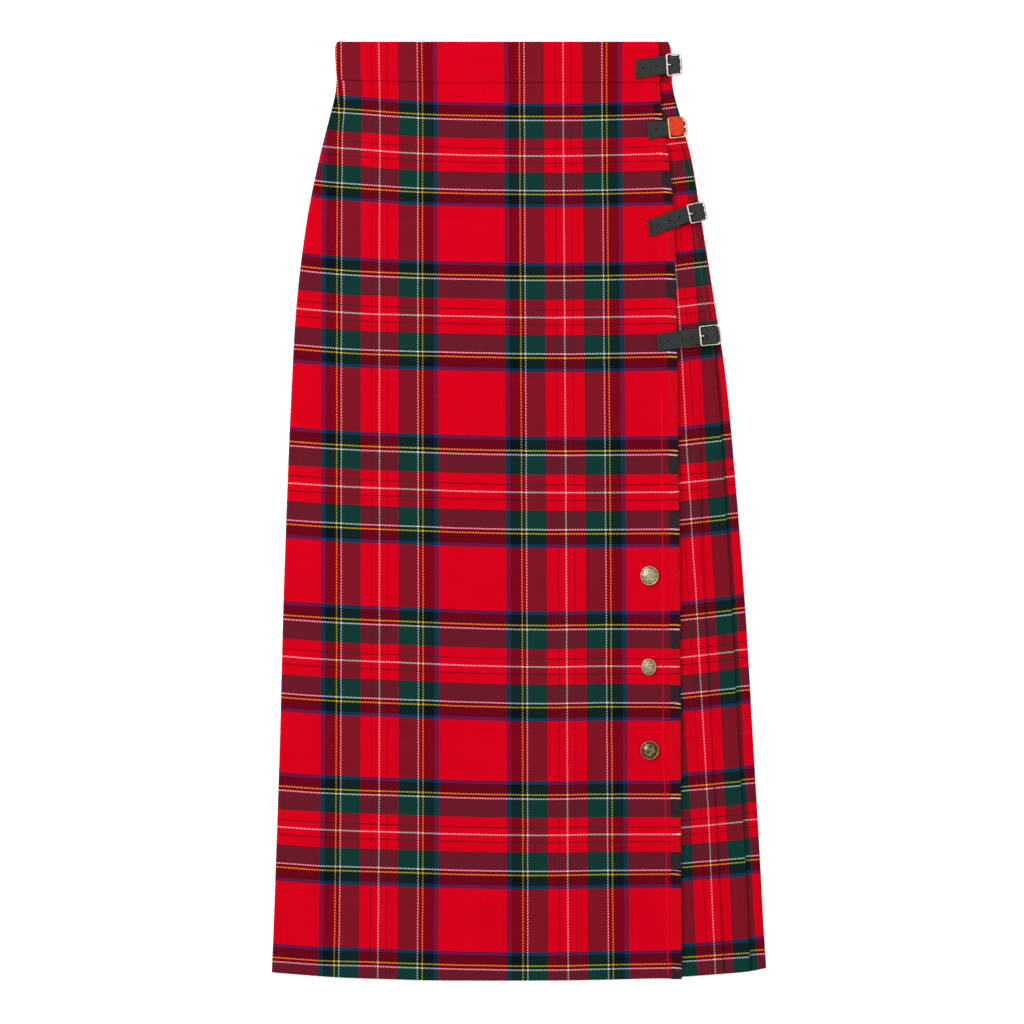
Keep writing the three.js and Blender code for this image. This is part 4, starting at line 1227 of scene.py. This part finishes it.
class Look:
    """A material with a Principled surface, built node by node."""

    def __init__(self, name, **sockets):
        self.material = bpy.data.materials.new(name)
        self.material.use_nodes = True
        self.nodes = self.material.node_tree.nodes
        self.links = self.material.node_tree.links
        self.surface = self.nodes["Principled BSDF"]
        for socket, value in sockets.items():
            self.dress(socket.replace("_", " ").title().replace("Ior", "IOR"), value)

    def feed(self, socket, value):
        """Links a socket into another, or sets a plain value."""
        if isinstance(value, bpy.types.NodeSocket):
            self.links.new(value, socket)
        else:
            socket.default_value = value

    def node(self, kind, inputs=None, **settings):
        made = self.nodes.new(kind)
        for key, value in settings.items():
            setattr(made, key, value)
        for key, value in (inputs or {}).items():
            self.feed(made.inputs[key], value)
        return made

    def math(self, operation, *values):
        made = self.nodes.new("ShaderNodeMath")
        made.operation = operation
        for socket, value in zip(made.inputs, values):
            self.feed(socket, value)
        return made.outputs[0]

    def mix(self, share, first, second, kind="MIX"):
        made = self.node("ShaderNodeMix", data_type="RGBA", blend_type=kind)
        sockets = [s for s in made.inputs if s.enabled]
        for socket, value in zip(sockets, (share, first, second)):
            self.feed(socket, value)
        return [s for s in made.outputs if s.enabled][0]

    def weave(self):
        """The piece's own coordinates, in mm."""
        place = self.node("ShaderNodeAttribute", attribute_name="weave", attribute_type="GEOMETRY")
        parts = self.node("ShaderNodeSeparateXYZ", {0: place.outputs["Vector"]})
        return parts.outputs

    def noise(self, scale, detail=2.0, vector=None, roughness=0.5):
        inputs = {"Scale": scale, "Detail": detail, "Roughness": roughness}
        inputs["Vector"] = vector or self.node("ShaderNodeTexCoord").outputs["Object"]
        return self.node("ShaderNodeTexNoise", inputs).outputs["Fac"]

    def range(self, value, low, high, to_low=0.0, to_high=1.0):
        made = self.node("ShaderNodeMapRange", {"Value": value})
        for key, number in zip(("From Min", "From Max", "To Min", "To Max"), (low, high, to_low, to_high)):
            made.inputs[key].default_value = number
        return made.outputs[0]

    def ramp(self, value, stops, interpolation="LINEAR"):
        made = self.node("ShaderNodeValToRGB", {"Fac": value})
        made.color_ramp.interpolation = interpolation
        elements = made.color_ramp.elements
        while len(elements) < len(stops):
            elements.new(0.5)
        for element, (position, _) in zip(elements, stops):
            element.position = position
        for element, (position, shade) in zip(elements, stops):
            element.position = position
            element.color = shade
        return made.outputs["Color"]

    def bump(self, height, distance, strength=1.0):
        made = self.node("ShaderNodeBump", {"Height": height, "Strength": strength, "Distance": distance})
        self.links.new(made.outputs["Normal"], self.surface.inputs["Normal"])

    def speckle(self, scale, detail, *limits):
        """Noise of a scale and detail, drawn out between limits."""
        return self.range(self.noise(scale, detail), *limits)

    def tones(self, share, first, second, light=1.0):
        """A mix of two colours given as they look."""
        return self.mix(share, colour(*first, light), colour(*second, light))

    def scaled(self, shade, factor):
        return self.node("ShaderNodeVectorMath", {0: shade, "Scale": factor}, operation="SCALE").outputs[0]

    def gamma(self, shade, power):
        return self.node("ShaderNodeGamma", {"Color": shade, "Gamma": power}).outputs[0]

    def dress(self, socket, value):
        """Feeds one of the surface's own sockets."""
        self.feed(self.surface.inputs[socket], value)

    def paint(self, shade):
        self.dress("Base Color", shade)


def sett_colour(look, thread, sett):
    """The dye of a numbered thread."""
    half = sum(count for _, count in sett)
    share = look.math("DIVIDE", look.math("PINGPONG", look.math("ADD", thread, 0.5), half), half)
    stops, passed = [], 0
    for dye, count in sett:
        stops.append((passed / half, colour(*DYES[dye], CLOTH_LIGHT)))
        passed += count
    return look.ramp(share, stops, "CONSTANT")


def wool():
    """A two-and-two twill: threads in their sett's colours, each float rounded and painted darker towards its
    edges as painted shade.
    """
    look = Look("tartan_wool", roughness=1.0, specular_ior_level=0.01, sheen_weight=0.02, sheen_roughness=0.5)
    place = look.weave()
    drift = look.node("ShaderNodeTexNoise", {
        "Vector": look.node("ShaderNodeTexCoord").outputs["Object"], "Scale": 38.0, "Detail": 1.0,
    })
    parts = look.node("ShaderNodeSeparateColor", {0: drift.outputs["Color"]})
    turns, numbers = [], []
    for k, pitch in enumerate((WARP_PITCH, WEFT_PITCH)):
        stray = look.math("SUBTRACT", parts.outputs[k], 0.5)
        turns.append(look.math("DIVIDE", look.math("MULTIPLY_ADD", stray, DRIFT, place[k]), pitch))
        numbers.append(look.math("FLOOR", turns[k]))
    i, j = numbers
    warp = sett_colour(look, i, WARP_SETT)
    weft = sett_colour(look, j, WEFT_SETT)
    turn = look.math("FLOORED_MODULO", look.math("SUBTRACT", i, j), 4.0)
    warp_up = look.math("LESS_THAN", turn, 1.5)
    weft_up = look.math("SUBTRACT", 1.0, warp_up)
    nap = look.mix(1.0, look.gamma(warp, 1 - WEFT_SHARE), look.gamma(weft, WEFT_SHARE), "MULTIPLY")
    nap_share = look.math("MULTIPLY_ADD", warp_up, WARP_FUZZ - WEFT_FUZZ, WEFT_FUZZ)
    shade = look.mix(nap_share, look.mix(warp_up, weft, warp), nap)
    rounds, on_top = [], []
    for turn, number, up in zip(turns, numbers, (warp_up, weft_up)):
        across = look.math("PINGPONG", look.math("MULTIPLY", look.math("FRACT", turn), 2.0), 1.0)
        rounds.append(look.math("MULTIPLY", up, across))
        on_top.append(look.math("MULTIPLY", number, up))
    round_thread = look.math("SQRT", look.math("ADD", *rounds))
    which = look.node("ShaderNodeCombineXYZ", dict(enumerate(on_top))).outputs[0]
    thread_chance = look.node("ShaderNodeTexWhiteNoise", {"Vector": which}, noise_dimensions="2D")
    # painted shade: each float's colour is darkened towards its edges, where the threads shade each other
    depth = look.math("MULTIPLY_ADD", round_thread, 0.3, 0.78)
    uneven = look.range(thread_chance.outputs["Value"], 0, 1, 0.93, 1.05)
    patch = look.speckle(22.0, 3.0, 0.3, 0.7, 0.97, 1.03)
    look.paint(look.scaled(shade, look.math("MULTIPLY", look.math("MULTIPLY", depth, uneven), patch)))
    fuzz = look.noise(scale=2600.0, detail=2.0)
    height = look.math("MULTIPLY_ADD", fuzz, 0.35, round_thread)
    look.bump(height, distance=0.00016, strength=0.55)
    return look.material


def fringe_wool():
    """Loose weft yarns, in the sett's colours along the edge."""
    look = Look("fringe_wool", roughness=1.0, specular_ior_level=0.03, sheen_weight=0.06, sheen_roughness=0.5)
    place = look.weave()
    dye = sett_colour(look, look.math("FLOOR", look.math("DIVIDE", place[1], WEFT_PITCH)), WEFT_SETT)
    both = look.mix(1.0, dye, colour(*DYES["red"], CLOTH_LIGHT), "MULTIPLY")
    fuzz = look.speckle(520.0, 2.0, 0.36, 0.64, FRINGE_FUZZ - 0.25, FRINGE_FUZZ + 0.35)
    fibre = look.speckle(1500.0, 3.0, 0.25, 0.75, 0.78, 1.12)
    look.paint(look.scaled(look.mix(fuzz, dye, look.gamma(both, 0.5)), fibre))
    look.bump(look.noise(scale=2400.0, detail=2.0), distance=0.0002, strength=0.6)
    return look.material


def leather():
    """Black leather with a fine grain, in patches a little lighter."""
    look = Look("black_leather", roughness=0.5, specular_ior_level=0.25)
    grain = look.node("ShaderNodeTexVoronoi", {
        "Vector": look.node("ShaderNodeTexCoord").outputs["Object"], "Scale": 1900.0,
    }, feature="DISTANCE_TO_EDGE").outputs["Distance"]
    patches = look.noise(scale=160.0, detail=4.0)
    shade = look.tones(look.range(patches, 0.35, 0.7), (26, 31, 31), (39, 44, 43), LIGHT)
    look.paint(shade)
    look.dress("Roughness", look.range(patches, 0.3, 0.7, 0.52, 0.68))
    folds = look.math("MULTIPLY", look.noise(scale=700.0, detail=3.0), 0.6)
    height = look.math("ADD", look.range(grain, 0, 0.12), folds)
    look.bump(height, distance=0.00007, strength=0.5)
    return look.material


def suede():
    """The flesh side of orange-red leather, with a short nap."""
    look = Look("red_suede", roughness=0.9, specular_ior_level=0.1, sheen_weight=0.2, sheen_roughness=0.4)
    nap = look.noise(scale=900.0, detail=5.0, roughness=0.7)
    shade = look.tones(look.speckle(230.0, 3.0, 0.35, 0.7), (214, 38, 16), (240, 64, 30), LIGHT)
    look.paint(look.mix(look.range(nap, 0.4, 0.75, 0.0, 0.35), shade, colour(255, 130, 90, LIGHT)))
    look.bump(nap, distance=0.00035, strength=0.7)
    return look.material


def plated(name, bright, dull, roughness):
    """Polished metal with fine scratches and a duller bloom."""
    look = Look(name, metallic=1.0)
    look.paint(look.tones(look.speckle(420.0, 4.0, 0.4, 0.75), bright, dull))
    scratches = look.noise(scale=3200.0, detail=2.0)
    look.dress("Roughness", look.range(scratches, 0.3, 0.7, roughness, roughness + 0.12))
    look.bump(scratches, distance=0.00002, strength=0.3)
    return look.material


def antique(name, bright, dark, roughness):
    """Cast metal that is dark in its hollows and bright where it is rubbed."""
    look = Look(name, metallic=1.0)
    worn = look.range(look.weave()[0], 0.1, 0.75)
    share = look.math("ADD", worn, look.speckle(480.0, 4.0, 0.3, 0.7, -0.5, 0.4))
    clean = look.node("ShaderNodeClamp", {"Value": share}).outputs[0]
    look.paint(look.tones(clean, dark, bright))
    look.dress("Roughness", look.range(clean, 0, 1, roughness + 0.2, roughness))
    look.bump(look.noise(scale=1800.0, detail=3.0), distance=0.00004, strength=0.4)
    return look.material


def thread(name, shade):
    """Plied sewing thread."""
    look = Look(name, roughness=0.95, specular_ior_level=0.05, sheen_weight=0.03)
    ply = look.noise(scale=1400.0, detail=2.0)
    dark = tuple(0.8 * channel for channel in shade)
    look.paint(look.tones(look.range(ply, 0.35, 0.65), dark, shade, LIGHT))
    look.bump(ply, distance=0.0001, strength=0.5)
    return look.material


def studio_floor():
    look = Look("studio_floor", roughness=0.95, specular_ior_level=0.0, emission_strength=FLOOR_GLOW)
    look.dress("Emission Color", (1, 1, 1, 1))
    shade = look.mix(look.speckle(3.0, 2.0, 0.3, 0.7), (0.93, 0.93, 0.93, 1), (0.95, 0.95, 0.95, 1))
    look.paint(shade)
    return look.material


# -------- the room


def add_camera():
    data = bpy.data.cameras.new("camera")
    data.lens = LENS
    data.sensor_width = SENSOR
    data.clip_end = 100
    camera = linked("camera", data)
    distance = VIEW.across / SENSOR * LENS
    camera.location = (VIEW.x * MM, VIEW.y * MM, distance * MM)
    bpy.context.scene.camera = camera


def add_light(name, light):
    data = bpy.data.lights.new(name, "AREA")
    data.size = light.size
    data.energy = light.watts
    lamp = linked(name, data)
    lamp.location = (light.x, light.y, light.z)
    lamp.rotation_euler = (-lamp.location).to_track_quat("-Z", "Y").to_euler()


def add_room():
    """A white room, a little brighter overhead, and a plain floor."""
    world = bpy.data.worlds.new("studio")
    bpy.context.scene.world = world
    world.use_nodes = True
    nodes, links = world.node_tree.nodes, world.node_tree.links
    place = nodes.new("ShaderNodeTexCoord")
    parts = nodes.new("ShaderNodeSeparateXYZ")
    height = nodes.new("ShaderNodeMapRange")
    for socket, value in {"From Max": 0.8, "To Min": HORIZON, "To Max": DAYLIGHT}.items():
        height.inputs[socket].default_value = value
    links.new(place.outputs["Generated"], parts.inputs[0])
    links.new(parts.outputs["Z"], height.inputs["Value"])
    links.new(height.outputs[0], nodes["Background"].inputs["Strength"])
    nodes["Background"].inputs["Color"].default_value = (1, 1, 1, 1)
    vertices = [[-4000, -4000, -0.4], [4000, -4000, -0.4], [4000, 4000, -0.4], [-4000, 4000, -0.4]]
    floor = mesh_object("floor", vertices, [[0, 1, 2, 3]], studio_floor())
    add_light("key", KEY)
    add_light("fill", FILL)


# -------- assembly

scene = bpy.context.scene
scene.view_settings.view_transform = "Standard"
scene.cycles.use_denoising = False  # it would wipe out the twill's lines, under three pixels apart
add_camera()
add_room()

tartan = wool()
yarn = fringe_wool()
black_leather = leather()
red_suede = suede()
silver = plated("silver_plate", (216, 209, 197), (150, 142, 130), 0.17)
brass = plated("brass_plate", (222, 200, 150), (168, 136, 84), 0.2)
antique_silver = antique("antique_silver", (176, 167, 134), (82, 70, 50), 0.3)
antique_brass = antique("antique_brass", (138, 122, 88), (58, 42, 28), 0.24)
red_thread = thread("red_thread", (208, 22, 26))
light_thread = thread("light_thread", (250, 18, 44))
black_thread = thread("black_thread", (30, 32, 34))


def settle(piece, slot, *nodes):
    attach(piece, "root")
    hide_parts(*nodes)
    return piece


front = settle(over_apron(tartan), "tartan", "over_apron")
lower = settle(under_apron(tartan), "tartan", "under_apron")
side = settle(side_pleats(tartan), "tartan", "side_pleats")
back = settle(back_pleats(tartan), "tartan", "back_pleats")
fringe = settle(apron_fringe(yarn), "fringe", "apron_fringe")
band_front = settle(waistband("over", tartan), "waistband", "waistband_over")
band_lower = settle(waistband("under", tartan), "waistband", "waistband_under")
band_rear = settle(waistband("back", tartan), "waistband", "waistband_back")

edge_ys = np.linspace(EDGE_SEWING.start, HEM + 3, 320)
edge_xs = pressed_line(edge_ys)
edge_zs = OVER + CLOTH / 2 - EDGE_SEWING.sunk + relief(APRON_CREASES, edge_xs, edge_ys)
edge_zs += edge_lift(edge_xs, edge_ys)
edge_line = np.stack([edge_xs, edge_ys, edge_zs], 1)
edge_stitches = stitch_row("edge_stitching", edge_line, light_thread, *EDGE_SEWING.stitch)
settle(edge_stitches, "tartan")
band_xs = np.linspace(BAND_SEWING.left, BAND_SEWING.right, 200)
band_ys = SEAM + BAND_SEWING.above_seam + seam_shift(band_xs)
band_zs = np.full(200, 4 * LAYER + BAND - BAND_SEWING.sunk)
band_stitches = stitch_row("waistband_stitching", np.stack([band_xs, band_ys, band_zs], 1), red_thread)
settle(band_stitches, "waistband")

for strap in STRAPS:
    name = strap.name
    settle(strap_leather(strap, black_leather), "leather", f"strap_{name}")
    settle(strap_sewing(strap, black_thread), "leather")
    metal = silver if strap.prong else brass
    settle(buckle_frame(strap, metal), "buckle_metal", f"buckle_frame_{name}")
    settle(buckle_tab(strap, black_leather), "leather", f"buckle_tab_{name}")
    if strap.prong:
        settle(buckle_prong(strap, silver), "buckle_metal", f"buckle_prong_{name}")
    else:
        settle(turned_end(strap, red_suede), "suede", "strap_2_end")

for button in BUTTONS:
    metal = antique_brass if button.face == "plain" else antique_silver
    settle(dome_button(button, metal), "button_metal", f"button_{button.name}")
